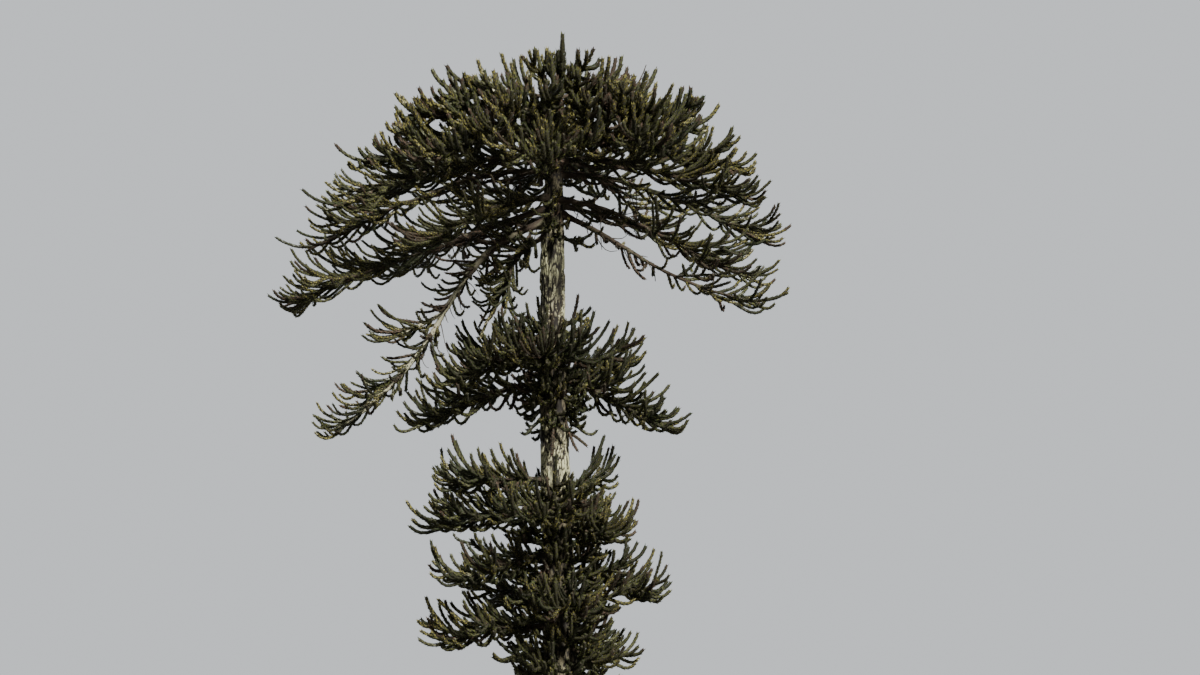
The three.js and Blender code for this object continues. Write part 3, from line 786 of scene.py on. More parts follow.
@functools.cache
def grown_shoots():
    """Every shoot of the tree, each on its own line."""
    limbs = grown_limbs()
    standing = Standing()
    standing.add(with_room(trunk_runs(), TRUNK_OWNER))
    for limb in limbs.values():
        for runs in limb_runs(limb):
            standing.add(with_room(runs, limb["index"]))
    shares = np.linspace(0, 1, SHOOT_POINTS)
    radius = bpy.context.scene.tree_sizes.shoot_radius
    shoots = []

    def keep(limb, points, item, dryness=0):
        stout = filling(limb)["stout"] * vary(limb, item, 15, 0.9, 1.1)
        girth = np.linspace(radius, radius * 0.8, len(points)) * stout
        tone = shoot_tone(limb, item, points[-1], dryness)
        other, pieces = tip_tone(limb, item, points[-1])
        last = len(points) - 1
        cut = last - pieces if tone != "dry_brown" else last
        shoots.append(Shoot(limb, points[: cut + 1], tone, girth[: cut + 1], (0, cut / last)))
        if cut < last:
            shoots.append(Shoot(limb, points[cut:], other, girth[cut:], (cut / last, 1)))

    def grow(limb, make, item, parent, seat, size, dryness, boxes):
        for reach in REACHES:
            path = make(limb, parent, item, seat, reach * size)
            points = path.points(shares)
            runs = fine_runs(limb, points)
            if in_reach(points, boxes) and standing.is_clear(runs):
                standing.add(runs)
                keep(limb, points, item, dryness)
                return path
        return None

    for limb in limbs.values():
        shoots.extend(stem_shoots(limb))
        for number, twig in enumerate(limb["twig_paths"]):
            points = twig.points(np.linspace(0.12, 1, SHOOT_POINTS + 3))
            standing.add(fine_runs(limb, points))
            keep(limb, points, FINE - 1 - number)
        for path, _, item, _ in limb["sprays_grown"]:
            points = path.points(shares)
            standing.add(fine_runs(limb, points))
            keep(limb, points, item)
    for limb in limbs.values():
        boxes = list(mass_boxes(limb))
        for item, parent, seat, size, dryness in fine_seats(limb):
            grow(limb, shoot_path, item, parent, seat, size, dryness, boxes)
    whole = [(np.array(CAD_BOX[0]), np.array(CAD_BOX[1]))]
    for sprouts, item, seat, size in trunk_seats():
        sprout = grow(sprouts, trunk_shoot_path, item, None, seat, size, 0, whole)
        for number, own_seat, own_size in side_seats(sprouts, item, size) if sprout else ():
            grow(sprouts, shoot_path, number, sprout, own_seat, own_size, 0, whole)
    return shoots


DEAD_TWIGS = 6  # on each metre of bare bough
DEAD_TWIG_RADIUS = 0.01
DEAD_TIPS = 9  # bare twigs at the top right of the crest, where it has died back


def dead_twigs():
    """Thin leafless twigs that hang from the bare boughs and stand at the right of the crest."""
    shares = np.linspace(0, 1, 6)
    girth = np.linspace(DEAD_TWIG_RADIUS, DEAD_TWIG_RADIUS * 0.45, 6)
    for limb in grown_limbs().values():
        length = limb["path"].length()
        count = round(length * limb["bare"] * DEAD_TWIGS)
        for n in range(count):
            item = 2 * FINE + n
            share = lerp(0.06, limb["bare"], (n + 0.5) / count)
            seat = (share, vary(limb, item, 8, 150, 390), vary(limb, item, 9, 35, 85),
                    vary(limb, item, 12, -0.6, 0.9))
            path = shoot_path(limb, limb["path"], item, seat, vary(limb, item, 10, 0.35, 0.95))
            yield Shoot(limb, path.points(shares), "", girth)
    limb = grown_limbs()["crest_right"]
    for n in range(DEAD_TIPS):
        item = 3 * FINE + n
        seat = (vary(limb, item, 7, 0.75, 1), vary(limb, item, 8, 10, 150),
                vary(limb, item, 9, 20, 60), 0.9)
        path = shoot_path(limb, limb["path"], item, seat, vary(limb, item, 10, 0.6, 1.0))
        yield Shoot(limb, path.points(shares), "", girth * 1.5)


BEND = ((0.9, 0.075), (3.1, 0.016))  # the crookedness of the limbs: times per metre, and metres


def bent(points):
    """Sways a line by one field for the whole crown, so that what is joined stays joined. The field
    dies away at the trunk."""
    moved = []
    for point in points:
        away = min(max((math.hypot(point[0], point[1]) - 0.3) / 0.9, 0), 1)
        shift = Vector((0, 0, 0))
        for rate, size in BEND:
            shift += noise.noise_vector(Vector(point) * rate) * size
        moved.append(point + np.array(shift) * away)
    return np.array(moved)


def region_limbs(region):
    return [limb for limb in grown_limbs().values() if limb["tier"] in REGIONS[region]]


# Meshes

TRUNK_COLUMNS = 100
# Fields that bend the plates of the bark: times per metre round the trunk and up it, and strength
PLATE_BENDS = ((4, 1.2, 0.9), (14, 5, 0.34))
CRUMBS = (46, 13)  # on each metre round the trunk and up it
RING_STEP = 0.026  # height of a row of faces on the trunk
PLATE_STEP = 0.55  # how far plates differ in height, as a share of the furrows' depth
CRUMB_DEPTH = 0.006
TWIG_WOOD = 0.62  # share of a side twig that has wood of its own, and the wood's radii
TWIG_WOOD_RADII = (0.024, 0.016)


def new_piece(name, mesh, material, nodes):
    """Puts a finished mesh into the scene under the root body and hides the CAD solids it stands for.
    """
    piece = bpy.data.objects.new(name, mesh)
    bpy.context.scene.collection.objects.link(piece)
    if not mesh.materials:
        mesh.materials.append(material)
    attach(piece, "root")
    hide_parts(*nodes)
    return piece


def plain_mesh(name, points, edges, faces, attributes):
    mesh = bpy.data.meshes.new(name)
    mesh.from_pydata(points, edges, faces)
    for key, values in attributes.items():
        layer = mesh.attributes.new(key, "FLOAT", "POINT")
        layer.data.foreach_set("value", np.asarray(values, dtype=np.float32))
    return mesh


def mesh_of(name, points, faces, attributes):
    mesh = plain_mesh(name, points.tolist(), [], faces, attributes)
    mesh.validate()
    mesh.shade_smooth()
    return mesh


def grid_faces(rings, columns):
    """Faces of a closed tube of rings, with a fan at the foot and one at the tip."""
    faces = []
    for i in range(rings - 1):
        for j in range(columns):
            k = (j + 1) % columns
            low, high = i * columns, (i + 1) * columns
            faces.append((low + j, low + k, high + k, high + j))
    foot, tip, last = rings * columns, rings * columns + 1, (rings - 1) * columns
    for j in range(columns):
        k = (j + 1) % columns
        faces.append((foot, k, j))
        faces.append((tip, last + j, last + k))
    return faces


def bark_relief(x, y, z, width, height):
    """The bark's height from 0 in a furrow to 1 on a plate, a number for each plate, and crumbs."""
    bend = Vector((0, 0, 0))
    for around, up, strength in PLATE_BENDS:
        bend += noise.noise_vector(Vector((x * around, y * around, z * up))) * strength
    place = Vector((x / width, y / width, z / height)) + bend
    distances, cells = noise.voronoi(place)
    edge = distances[1] - distances[0]
    plate = min(max((edge - 0.01) / 0.22, 0), 1)
    plate = plate * plate * (3 - 2 * plate)
    around, up = CRUMBS
    crumb = noise.noise(Vector((x * around, y * around, z * up)))
    return plate, noise.cell(cells[0] * 3.7), crumb


def trunk_mesh(sizes):
    rings = round(TRUNK_TOP / RING_STEP)
    heights = np.linspace(0, TRUNK_TOP, rings + 1)
    points, relief, patch = [], [], []
    for height in heights:
        centre = trunk_centre(height)
        base = trunk_radius(height)
        depth = sizes.furrow_depth * min(1, base / 0.2)
        for j in range(TRUNK_COLUMNS):
            angle = 2 * math.pi * j / TRUNK_COLUMNS
            radius = base + flare_at(height, angle)
            x, y = radius * math.sin(angle), -radius * math.cos(angle)
            plate, cell, crumb = bark_relief(x, y, height, sizes.plate_width, sizes.plate_height)
            radius -= depth * (1 - plate) - depth * PLATE_STEP * (cell - 0.5) - CRUMB_DEPTH * crumb
            points.append((
                centre[0] + radius * math.sin(angle), centre[1] - radius * math.cos(angle), height))
            relief.append(0.85 * plate + 0.15 * (crumb + 0.5))
            patch.append(cell)
    points += [trunk_centre(0), trunk_centre(TRUNK_TOP) + UP * 0.012]
    relief += [0.2, 0.8]
    patch += [0.5, 0.5]
    faces = grid_faces(rings + 1, TRUNK_COLUMNS)
    return mesh_of("trunk_bark", np.array(points), faces, {"relief": relief, "patch": patch})


def tube(points, radii, sides, wobble):
    """Points and faces of a tapering limb, with the knobs and rings of old leaf scars."""
    way = np.gradient(points, axis=0)
    way /= np.linalg.norm(way, axis=1)[:, None]
    side = unit(np.cross(way[0], ALONG_X if abs(way[0][2]) > 0.97 else UP))
    rows = []
    for i, (centre, forward, radius) in enumerate(zip(points, way, radii)):
        side = unit(side - forward * side.dot(forward))
        over = np.cross(side, forward)
        for j in range(sides):
            angle = 2 * math.pi * j / sides
            out = side * math.sin(angle) + over * math.cos(angle)
            spot = Vector(centre + out * radius)
            swell = 1 + wobble * noise.noise(spot * 14) + 0.06 * wobble * (1 if i % 2 else -1)
            rows.append(centre + out * radius * swell)
    rows += [points[0] - way[0] * radii[0] * 0.3, points[-1] + way[-1] * radii[-1] * 0.8]
    return np.array(rows), grid_faces(len(points), sides)


def joined(name, parts):
    points, faces, start = [], [], 0
    for rows, own in parts:
        points.append(rows)
        faces += [tuple(index + start for index in face) for face in own]
        start += len(rows)
    return mesh_of(name, np.concatenate(points), faces, {})


def limb_girth(limb, share, length):
    """A limb's radius in the scene: swollen at the trunk, and slimmer in the foliage."""
    collar = 0.0
    if not limb.get("on"):
        outside = max(share * length - trunk_radius(limb["path"].point(0)[2]), 0)
        collar = 0.6 * math.exp(-outside / 0.09)
    slim = lerp(0.95, 0.75, share) if limb["name"] in LICHENED else lerp(0.6, 0.56, share)
    return limb_radius(limb, share) * (1 + collar) * slim


def limb_parts(limb):
    """A limb from inside what carries it to its tip, and its side twigs."""
    length = limb["path"].length()
    shares = np.linspace(0, 1, max(8, round(length / 0.06)) + 1)
    radii = np.array([limb_girth(limb, share, length) for share in shares])
    yield tube(bent(limb["path"].points(shares)), radii, 14 if limb["bare"] else 10, 0.3)
    for twig in limb["twig_paths"]:
        shares = np.linspace(0, TWIG_WOOD, 9)
        yield tube(bent(twig.points(shares)), lerp(*TWIG_WOOD_RADII, shares / TWIG_WOOD), 6, 0.2)


# Node trees

GOLDEN_ANGLE = math.radians(137.508)  # between a leaf round its shoot and the next
ROOT_SHARE = 0.8  # share of a shoot's radius where its leaves are rooted


def add_node(tree, kind, inputs=None, **settings):
    """Adds a node with its settings. Each input is a value, a socket to link from, or a node whose
    first output is meant."""
    made = tree.nodes.new(kind)
    for key, value in settings.items():
        setattr(made, key, value)
    for key, value in (inputs or {}).items():
        if isinstance(value, bpy.types.Node):
            value = value.outputs[0]
        if isinstance(value, bpy.types.NodeSocket):
            tree.links.new(value, made.inputs[key])
        else:
            made.inputs[key].default_value = value
    return made


def geometry_tree(name, words):
    """An empty geometry tree whose named inputs are given with their kinds."""
    tree = bpy.data.node_groups.new(name, "GeometryNodeTree")
    tree.is_modifier = True
    tree.interface.new_socket("Geometry", in_out="INPUT", socket_type="NodeSocketGeometry")
    tree.interface.new_socket("Geometry", in_out="OUTPUT", socket_type="NodeSocketGeometry")
    for word, kind in words.items():
        tree.interface.new_socket(word, in_out="INPUT", socket_type="NodeSocket" + kind)
    return tree, add_node(tree, "NodeGroupInput").outputs


def finish_tree(tree, geometry, material):
    real = add_node(tree, "GeometryNodeRealizeInstances", {"Geometry": geometry})
    painted = add_node(tree, "GeometryNodeSetMaterial", {"Geometry": real, "Material": material})
    add_node(tree, "NodeGroupOutput", {"Geometry": painted})
    return tree


@functools.cache
def leaf_tree():
    """Leaves in a spiral round each shoot: stiff, three-sided, keeled and sharply pointed."""
    tree, given = geometry_tree("leaves_round_a_shoot", {
        "Leaf length": "Float", "Leaf width": "Float", "Leaf thickness": "Float",
        "Leaf spacing": "Float", "Leaf angle": "Float",
        "Seed": "Int", "Material": "Material",
    })
    curve = add_node(tree, "GeometryNodeMeshToCurve", {"Mesh": given["Geometry"]})
    points = add_node(
        tree, "GeometryNodeCurveToPoints", {"Curve": curve, "Length": given["Leaf spacing"]},
        mode="LENGTH")
    along, girth = (
        add_node(tree, "GeometryNodeInputNamedAttribute", {"Name": name}, data_type="FLOAT")
        for name in ("along", "girth"))
    number = add_node(tree, "GeometryNodeInputIndex")
    turn = add_node(tree, "ShaderNodeMath", {0: number, 1: GOLDEN_ANGLE}, operation="MULTIPLY")
    facing = add_node(
        tree, "FunctionNodeAxesToRotation",
        {0: points.outputs["Tangent"], 1: points.outputs["Normal"]},
        primary_axis="Z", secondary_axis="X")
    around = add_node(tree, "FunctionNodeAxisAngleToRotation", {"Axis": (0, 0, 1), "Angle": turn})
    turned = add_node(
        tree, "FunctionNodeRotateRotation", {"Rotation": facing, "Rotate By": around},
        rotation_space="LOCAL")
    # the leaves close over the tip, and are small at the foot, at the tip and on slender shoots
    tilt, young, tip, stout = (
        add_node(tree, "ShaderNodeMapRange", {
            "Value": value, "From Min": low, "From Max": high, "To Min": first, "To Max": last})
        for value, low, high, first, last in (
            (along, 0.9, 1.0, 1.0, 0.5), (along, 0.0, 0.14, 0.7, 1.0),
            (along, 0.9, 1.0, 1.0, 0.85), (girth, 0.015, 0.035, 0.72, 1.2)))
    wild, odd = (
        add_node(tree, "FunctionNodeRandomValue", {2: low, 3: high, "Seed": given["Seed"]},
                 data_type="FLOAT").outputs[1]
        for low, high in ((0.75, 1.3), (0.86, 1.16)))
    for factor in (given["Leaf angle"], wild):
        tilt = add_node(tree, "ShaderNodeMath", {0: tilt, 1: factor}, operation="MULTIPLY")
    scale = young
    for factor in (tip, odd, stout):
        scale = add_node(tree, "ShaderNodeMath", {0: scale, 1: factor}, operation="MULTIPLY")
    outward = add_node(tree, "FunctionNodeAxisAngleToRotation", {"Axis": (0, 1, 0), "Angle": tilt})
    leaning = add_node(
        tree, "FunctionNodeRotateRotation", {"Rotation": turned, "Rotate By": outward},
        rotation_space="LOCAL")
    # each leaf is rooted a little under the shoot's surface
    root = add_node(tree, "ShaderNodeMath", {0: girth, 1: ROOT_SHARE}, operation="MULTIPLY")
    root = add_node(tree, "ShaderNodeCombineXYZ", {"X": root})
    offset = add_node(tree, "FunctionNodeRotateVector", {"Vector": root, "Rotation": turned})
    seats = add_node(
        tree, "GeometryNodeSetPosition", {"Geometry": points.outputs["Points"], "Offset": offset})
    leaf = add_node(
        tree, "GeometryNodeMeshCone",
        {"Vertices": 3, "Radius Top": 0.0, "Radius Bottom": 1.0, "Depth": given["Leaf length"]},
        fill_type="NGON")
    # a triangle whose corners lie 1 from its middle is 1.732 wide and 1.5 high
    thick, half = (
        add_node(tree, "ShaderNodeMath", {0: given[word], 1: factor}, operation="MULTIPLY")
        for word, factor in (("Leaf thickness", 0.667), ("Leaf width", 0.577)))
    size = add_node(tree, "ShaderNodeCombineXYZ", {"X": thick, "Y": half, "Z": 1.0})
    leaf = add_node(tree, "GeometryNodeTransform", {"Geometry": leaf, "Scale": size})
    leaves = add_node(tree, "GeometryNodeInstanceOnPoints", {
        "Points": seats, "Instance": leaf, "Rotation": leaning, "Scale": scale})
    tint = add_node(tree, "FunctionNodeRandomValue", {2: 0.0, 3: 1.0, "Seed": 5}, data_type="FLOAT")
    leaves = add_node(
        tree, "GeometryNodeStoreNamedAttribute",
        {"Geometry": leaves, "Name": "tint", "Value": tint.outputs[1]}, data_type="FLOAT",
        domain="INSTANCE")
    return finish_tree(tree, leaves, given["Material"])


@functools.cache
def shoot_tree():
    """The tapering woody shoot under the leaves."""
    tree, given = geometry_tree("shoots_along_paths", {"Shoot sides": "Int", "Material": "Material"})
    curve = add_node(tree, "GeometryNodeMeshToCurve", {"Mesh": given["Geometry"]})
    girth = add_node(tree, "GeometryNodeInputNamedAttribute", {"Name": "girth"}, data_type="FLOAT")
    profile = add_node(
        tree, "GeometryNodeCurvePrimitiveCircle", {"Resolution": given["Shoot sides"], "Radius": 1.0})
    solid = add_node(tree, "GeometryNodeCurveToMesh", {
        "Curve": curve, "Profile Curve": profile, "Scale": girth, "Fill Caps": True})
    return finish_tree(tree, solid, given["Material"])


def path_mesh(name, shoots):
    """Lines along the shoots, each point with its share of the length and its radius."""
    points, edges, along, girth = [], [], [], []
    for shoot in shoots:
        first = len(points)
        points += bent(shoot.points).tolist()
        along += np.linspace(*shoot.span, len(shoot.points)).tolist()
        girth += shoot.girth.tolist()
        edges += [(i, i + 1) for i in range(first, len(points) - 1)]
    return plain_mesh(name, points, edges, [], {"along": along, "girth": girth})


def grown_mesh(name, lines, tree, values):
    """The plain mesh that a geometry tree makes along lines."""
    carrier = bpy.data.objects.new(name + "_lines", lines)
    bpy.context.scene.collection.objects.link(carrier)
    modifier = carrier.modifiers.new("growth", "NODES")
    modifier.node_group = tree
    for item in tree.interface.items_tree:
        if item.in_out == "INPUT" and item.name in values:
            modifier[item.identifier] = values[item.name]
    carrier.update_tag()
    depsgraph = bpy.context.evaluated_depsgraph_get()
    mesh = bpy.data.meshes.new_from_object(carrier.evaluated_get(depsgraph))
    mesh.name = name
    carrier.modifiers.remove(modifier)
    bpy.data.objects.remove(carrier)
    bpy.data.meshes.remove(lines)
    return mesh


# Materials


def linear(hex_value):
    """An sRGB hex value as linear red, green and blue."""
    channels = ((hex_value >> shift & 255) / 255 for shift in (16, 8, 0))
    return tuple(c / 12.92 if c <= 0.04045 else ((c + 0.055) / 1.055) ** 2.4 for c in channels)


def opaque(colour):
    return (*colour, 1.0)


def new_material(name):
    material = bpy.data.materials.new(name)
    material.use_nodes = True
    tree = material.node_tree
    return material, tree, tree.nodes["Principled BSDF"]


def set_finish(tree, shader, colour, roughness, height, depth):
    """Links what varies over the surface. The other constants stay on the shader's own sockets."""
    bump = add_node(tree, "ShaderNodeBump", {"Distance": depth, "Strength": 0.8, "Height": height})
    tree.links.new(colour, shader.inputs["Base Color"])
    tree.links.new(roughness.outputs["Result"], shader.inputs["Roughness"])
    tree.links.new(bump.outputs["Normal"], shader.inputs["Normal"])


def mix_colours(tree, share, low, high):
    return add_node(
        tree, "ShaderNodeMix", {0: share, 6: low, 7: high}, data_type="RGBA").outputs[2]


# The stretches of the trunk inside foliage, painted darker brown, partly as bark bare of lichen and
# partly as painted shade: their middle height, and how far each way they reach
SHADED_BARK = ((12.4, 1.3), (8.65, 0.65), (5.4, 1.4))


@functools.cache
def trunk_bark_material():
    """Old monkey puzzle bark, grown in thick corky plates: dead matt, grey-brown with dark furrows,
    painted near black as bare bark and painted shade, and crusted with yellow-green lichen that lies
    on the plates and leaves the furrows bare. Inside the foliage it is painted darker brown, partly as
    painted shade."""
    colours = bpy.context.scene.tree_colours
    material, tree, shader = new_material("corky_plated_bark")
    place = add_node(tree, "ShaderNodeTexCoord").outputs["Object"]
    relief = add_node(tree, "ShaderNodeAttribute", attribute_name="relief").outputs["Fac"]
    patch = add_node(tree, "ShaderNodeAttribute", attribute_name="patch").outputs["Fac"]
    # lichen crusts about 0.3 m across, broken up by 25 mm spots
    crust, spots, grain = (
        add_node(tree, "ShaderNodeTexNoise", {"Vector": place, "Scale": scale, "Detail": detail})
        for scale, detail in ((3.4, 3.0), (40.0, 4.0), (160.0, 3.0)))
    plate = mix_colours(tree, patch, opaque(colours.bark_dark), opaque(colours.bark_light))
    lichen = mix_colours(tree, spots, opaque(colours.lichen_green), opaque(colours.lichen_pale))
    spread = add_node(tree, "ShaderNodeMath", {0: crust, 1: spots}, operation="ADD")
    streak = add_node(tree, "ShaderNodeMapping", {"Vector": place, "Scale": (5.5, 5.5, 1.5)})
    streak = add_node(tree, "ShaderNodeTexNoise", {"Vector": streak, "Scale": 1.0, "Detail": 4.0})
    covered, dark_streaked, on_plate, roughness = (
        add_node(tree, "ShaderNodeMapRange", {
            "Value": value, "From Min": low, "From Max": high, "To Min": first, "To Max": last})
        for value, low, high, first, last in (
            (spread, 0.85, 1.03, 0.0, 0.9), (streak, 0.51, 0.6, 0.0, 0.9),
            (relief, 0.3, 0.85, 0.0, 1.0), (spots, 0.3, 0.7, 0.82, 0.98)))
    surface = mix_colours(tree, covered, plate, lichen)
    # in the shade of the foliage the bark is painted darker brown and bare of lichen, partly as
    # painted shade, and dark streaks about 0.2 m wide and 0.6 m long run down it
    height = add_node(tree, "ShaderNodeSeparateXYZ", {0: place}).outputs["Z"]
    shaded = 0.0
    for middle, reach in SHADED_BARK:
        away = add_node(tree, "ShaderNodeMath", {0: height, 1: middle}, operation="SUBTRACT")
        away = add_node(tree, "ShaderNodeMath", {0: away}, operation="ABSOLUTE")
        here = add_node(tree, "ShaderNodeMapRange", {
            "Value": away, "From Min": reach + 0.5, "From Max": reach - 0.2,
            "To Min": 0.0, "To Max": 0.85})
        shaded = add_node(tree, "ShaderNodeMath", {0: here, 1: shaded}, operation="MAXIMUM")
    surface = mix_colours(tree, shaded, surface, opaque(colours.bark_brown_and_shade))
    # dark streaks at random over the trunk, in the furrows' near black
    surface = mix_colours(tree, dark_streaked, surface, opaque(colours.furrow_shade_and_streak))
    # the furrows are painted near black by the bark's relief: bare bark with painted shade in the
    # recesses
    colour = mix_colours(tree, on_plate, opaque(colours.furrow_shade_and_streak), surface)
    set_finish(tree, shader, colour, roughness, grain, 0.004)
    return material


@functools.cache
def limb_bark_material(name, dark, light, crust, pale=(0, 0, 0), pale_below=0.0):
    """Bark of the limbs, thinner and ringed with leaf scars: matt, brown to grey, with patches of
    lichen, and pale with it all round below a given height. The scars are cells about 20 mm apart."""
    material, tree, shader = new_material(name)
    place = add_node(tree, "ShaderNodeTexCoord").outputs["Object"]
    broad = add_node(tree, "ShaderNodeTexNoise", {"Vector": place, "Scale": 6.0, "Detail": 3.0})
    fine = add_node(tree, "ShaderNodeTexVoronoi", {"Vector": place, "Scale": 48.0})
    grain = add_node(tree, "ShaderNodeTexNoise", {"Vector": place, "Scale": 120.0, "Detail": 3.0})
    base = mix_colours(tree, grain, opaque(dark), opaque(light))
    covered = add_node(tree, "ShaderNodeMapRange", {
        "Value": broad, "From Min": 0.5, "From Max": 0.64, "To Min": 0.0, "To Max": 0.8})
    height = add_node(tree, "ShaderNodeSeparateXYZ", {0: place}).outputs["Z"]
    low = add_node(tree, "ShaderNodeMapRange", {
        "Value": height, "From Min": pale_below + 0.9, "From Max": pale_below - 0.3,
        "To Min": 0.0, "To Max": 0.75})
    colour = mix_colours(tree, covered, base, opaque(crust))
    colour = mix_colours(tree, low, colour, opaque(pale))
    roughness = add_node(tree, "ShaderNodeMapRange", {
        "Value": grain, "From Min": 0.3, "From Max": 0.7, "To Min": 0.8, "To Max": 0.96})
    set_finish(tree, shader, colour, roughness, fine.outputs["Distance"], 0.006)
    return material


@functools.cache
def leaf_material(tone):
    """Living leaves are leathery and waxed, so they catch a soft highlight. Dry ones are matt."""
    colours = bpy.context.scene.tree_colours
    base = getattr(colours, tone)
    dry = tone == "dry_brown"
    material, tree, shader = new_material("leathery_leaf_" + tone)
    place = add_node(tree, "ShaderNodeTexCoord").outputs["Object"]
    tint = add_node(tree, "ShaderNodeAttribute", attribute_name="tint").outputs["Fac"]
    # the leaf's own ribs are under a millimetre, so its surface is drawn as coarse as 9 mm
    ribs = add_node(tree, "ShaderNodeTexNoise", {"Vector": place, "Scale": 110.0, "Detail": 2.0})
    shade = opaque(tuple(c * 0.76 for c in base))
    bright = opaque(tuple(min(c * 1.24, 1) for c in base))
    colour = mix_colours(tree, tint, shade, bright)
    low, high = (0.7, 0.9) if dry else (0.38, 0.58)
    roughness = add_node(tree, "ShaderNodeMapRange", {
        "Value": ribs, "From Min": 0.3, "From Max": 0.7, "To Min": low, "To Max": high})
    set_finish(tree, shader, colour, roughness, ribs, 0.001)
    return material


# Properties


def length_property(name, description, default):
    return bpy.props.FloatProperty(
        name=name, description=description, default=default, min=0.0, unit="LENGTH", precision=4)


def colour_property(name, description, default):
    return bpy.props.FloatVectorProperty(
        name=name, description=description, default=linear(default), size=3, min=0.0, max=1.0,
        subtype="COLOR")


class TreeSizes(bpy.types.PropertyGroup):
    """The sizes that change the tree's finish."""

    plate_width: length_property("Plate width", "Width of a plate of the trunk's bark", 0.047)
    plate_height: length_property("Plate height", "Height of a plate of the trunk's bark", 0.19)
    furrow_depth: length_property("Furrow depth", "Depth of the furrows in the trunk's bark", 0.024)
    leaf_length: length_property("Leaf length", "Length of a leaf", 0.052)
    leaf_width: length_property("Leaf width", "Width of a leaf at its root", 0.037)
    leaf_thickness: length_property("Leaf thickness", "Thickness of a leaf at its keel", 0.008)
    leaf_spacing: length_property("Leaf spacing", "Distance between leaves along a shoot", 0.0132)
    shoot_radius: length_property("Shoot radius", "Radius of a shoot under its leaves", 0.028)
    leaf_angle: bpy.props.FloatProperty(
        name="Leaf angle", description="Angle between a leaf and its shoot",
        default=math.radians(20.5), min=0.0, subtype="ANGLE")


class TreeColours(bpy.types.PropertyGroup):
    """The colours of the bark and of the leaves."""

    bark_dark: colour_property("Dark bark", "Darker plates of the trunk", 0x4F4939)
    bark_light: colour_property("Light bark", "Lighter plates of the trunk", 0x86826B)
    # partly painted shade: the darker brown of the trunk inside the foliage
    bark_brown_and_shade: colour_property("Brown bark", "Plates of the trunk inside the foliage", 0x3D3325)
    # near black of the furrows, partly painted shade, and of the dark streaks
    furrow_shade_and_streak: colour_property("Furrow", "Furrows between the plates", 0x17130E)
    lichen_green: colour_property("Green lichen", "Lichen on the plates", 0x8D925E)
    lichen_pale: colour_property("Pale lichen", "Old lichen on the plates", 0xD9D7B4)
    limb_dark: colour_property("Dark limb", "Darker bark of the limbs", 0x2E261D)
    limb_light: colour_property("Light limb", "Lighter bark of the limbs", 0x463B2D)
    limb_crust: colour_property("Limb lichen", "Lichen on the limbs", 0x54523E)
    limb_lichen: colour_property("Hanging limb lichen", "Lichen on the hanging limb", 0xA3A287)
    shoot_bark: colour_property("Shoot", "Shoots under the leaves", 0x2C2E1B)
    deep_green: colour_property("Deep green", "Leaves in their prime", 0x2D361B)
    olive: colour_property("Olive", "Leaves of most sunlit shoots", 0x4A4E29)
    # dealt out more towards the top of the crown, partly as painted sunlight
    gold_olive: colour_property("Gold olive", "Leaves yellowed by sun", 0x6F6B38)
    dry_brown: colour_property("Dry brown", "Dead leaves that still hang on", 0x453426)


# Operators


class TREE_OT_trunk(bpy.types.Operator):
    """Makes the trunk with the relief of its bark"""

    bl_idname = "tree.trunk"
    bl_label = "Trunk"

    def execute(self, context):
        mesh = trunk_mesh(context.scene.tree_sizes)
        new_piece("trunk_bark", mesh, trunk_bark_material(), ["trunk"])
        return {"FINISHED"}


class TREE_OT_limbs(bpy.types.Operator):
    """Makes the boughs, stems, side twigs and dead twigs"""

    bl_idname = "tree.limbs"
    bl_label = "Limbs"

    def execute(self, context):
        colours = context.scene.tree_colours
        brown = limb_bark_material(
            "ringed_limb_bark", tuple(colours.limb_dark), tuple(colours.limb_light),
            tuple(colours.limb_crust))
        grey = limb_bark_material(
            "lichened_limb_bark", tuple(colours.limb_dark), tuple(colours.limb_light),
            tuple(colours.limb_crust), tuple(colours.limb_lichen), 10.0)
        groups = {region + "_limbs": (region_limbs(region), brown) for region in REGIONS}
        limbs = grown_limbs()
        groups["hanging_limbs"] = ([limbs[name] for name in LICHENED], grey)
        for name, (members, material) in groups.items():
            if material is brown:
                members = [limb for limb in members if limb["name"] not in LICHENED]
            mesh = joined(name, [part for limb in members for part in limb_parts(limb)])
            nodes = [limb["name"] + "_bough" for limb in members if limb["bare"]]
            nodes += [limb["name"] + "_foliage" for limb in members]
            new_piece(name, mesh, material, nodes)
        mesh = grown_mesh(
            "dead_twigs", path_mesh("dead_twigs", list(dead_twigs())), shoot_tree(),
            {"Shoot sides": 4, "Material": brown})
        nodes = [limb["name"] + "_bough" for limb in limbs.values() if limb["bare"]]
        new_piece("dead_twigs", mesh, brown, nodes)
        return {"FINISHED"}


class TREE_OT_shoots(bpy.types.Operator):
    """Makes the shoots that carry the leaves"""

    bl_idname = "tree.shoots"
    bl_label = "Shoots"

    def execute(self, context):
        colours = context.scene.tree_colours
        material = limb_bark_material(
            "shoot_bark", tuple(colours.shoot_bark), tuple(colours.limb_dark),
            tuple(colours.shoot_bark))
        values = {"Shoot sides": 4, "Material": material}
        for region, tiers in REGIONS.items():
            shoots = [
                shoot for shoot in grown_shoots()
                if shoot.limb["tier"] in tiers and not shoot.is_stem
            ]
            name = region + "_shoots"
            mesh = grown_mesh(name, path_mesh(name, shoots), shoot_tree(), values)
            nodes = [limb["name"] + "_foliage" for limb in region_limbs(region)]
            new_piece(name, mesh, material, nodes)
        return {"FINISHED"}


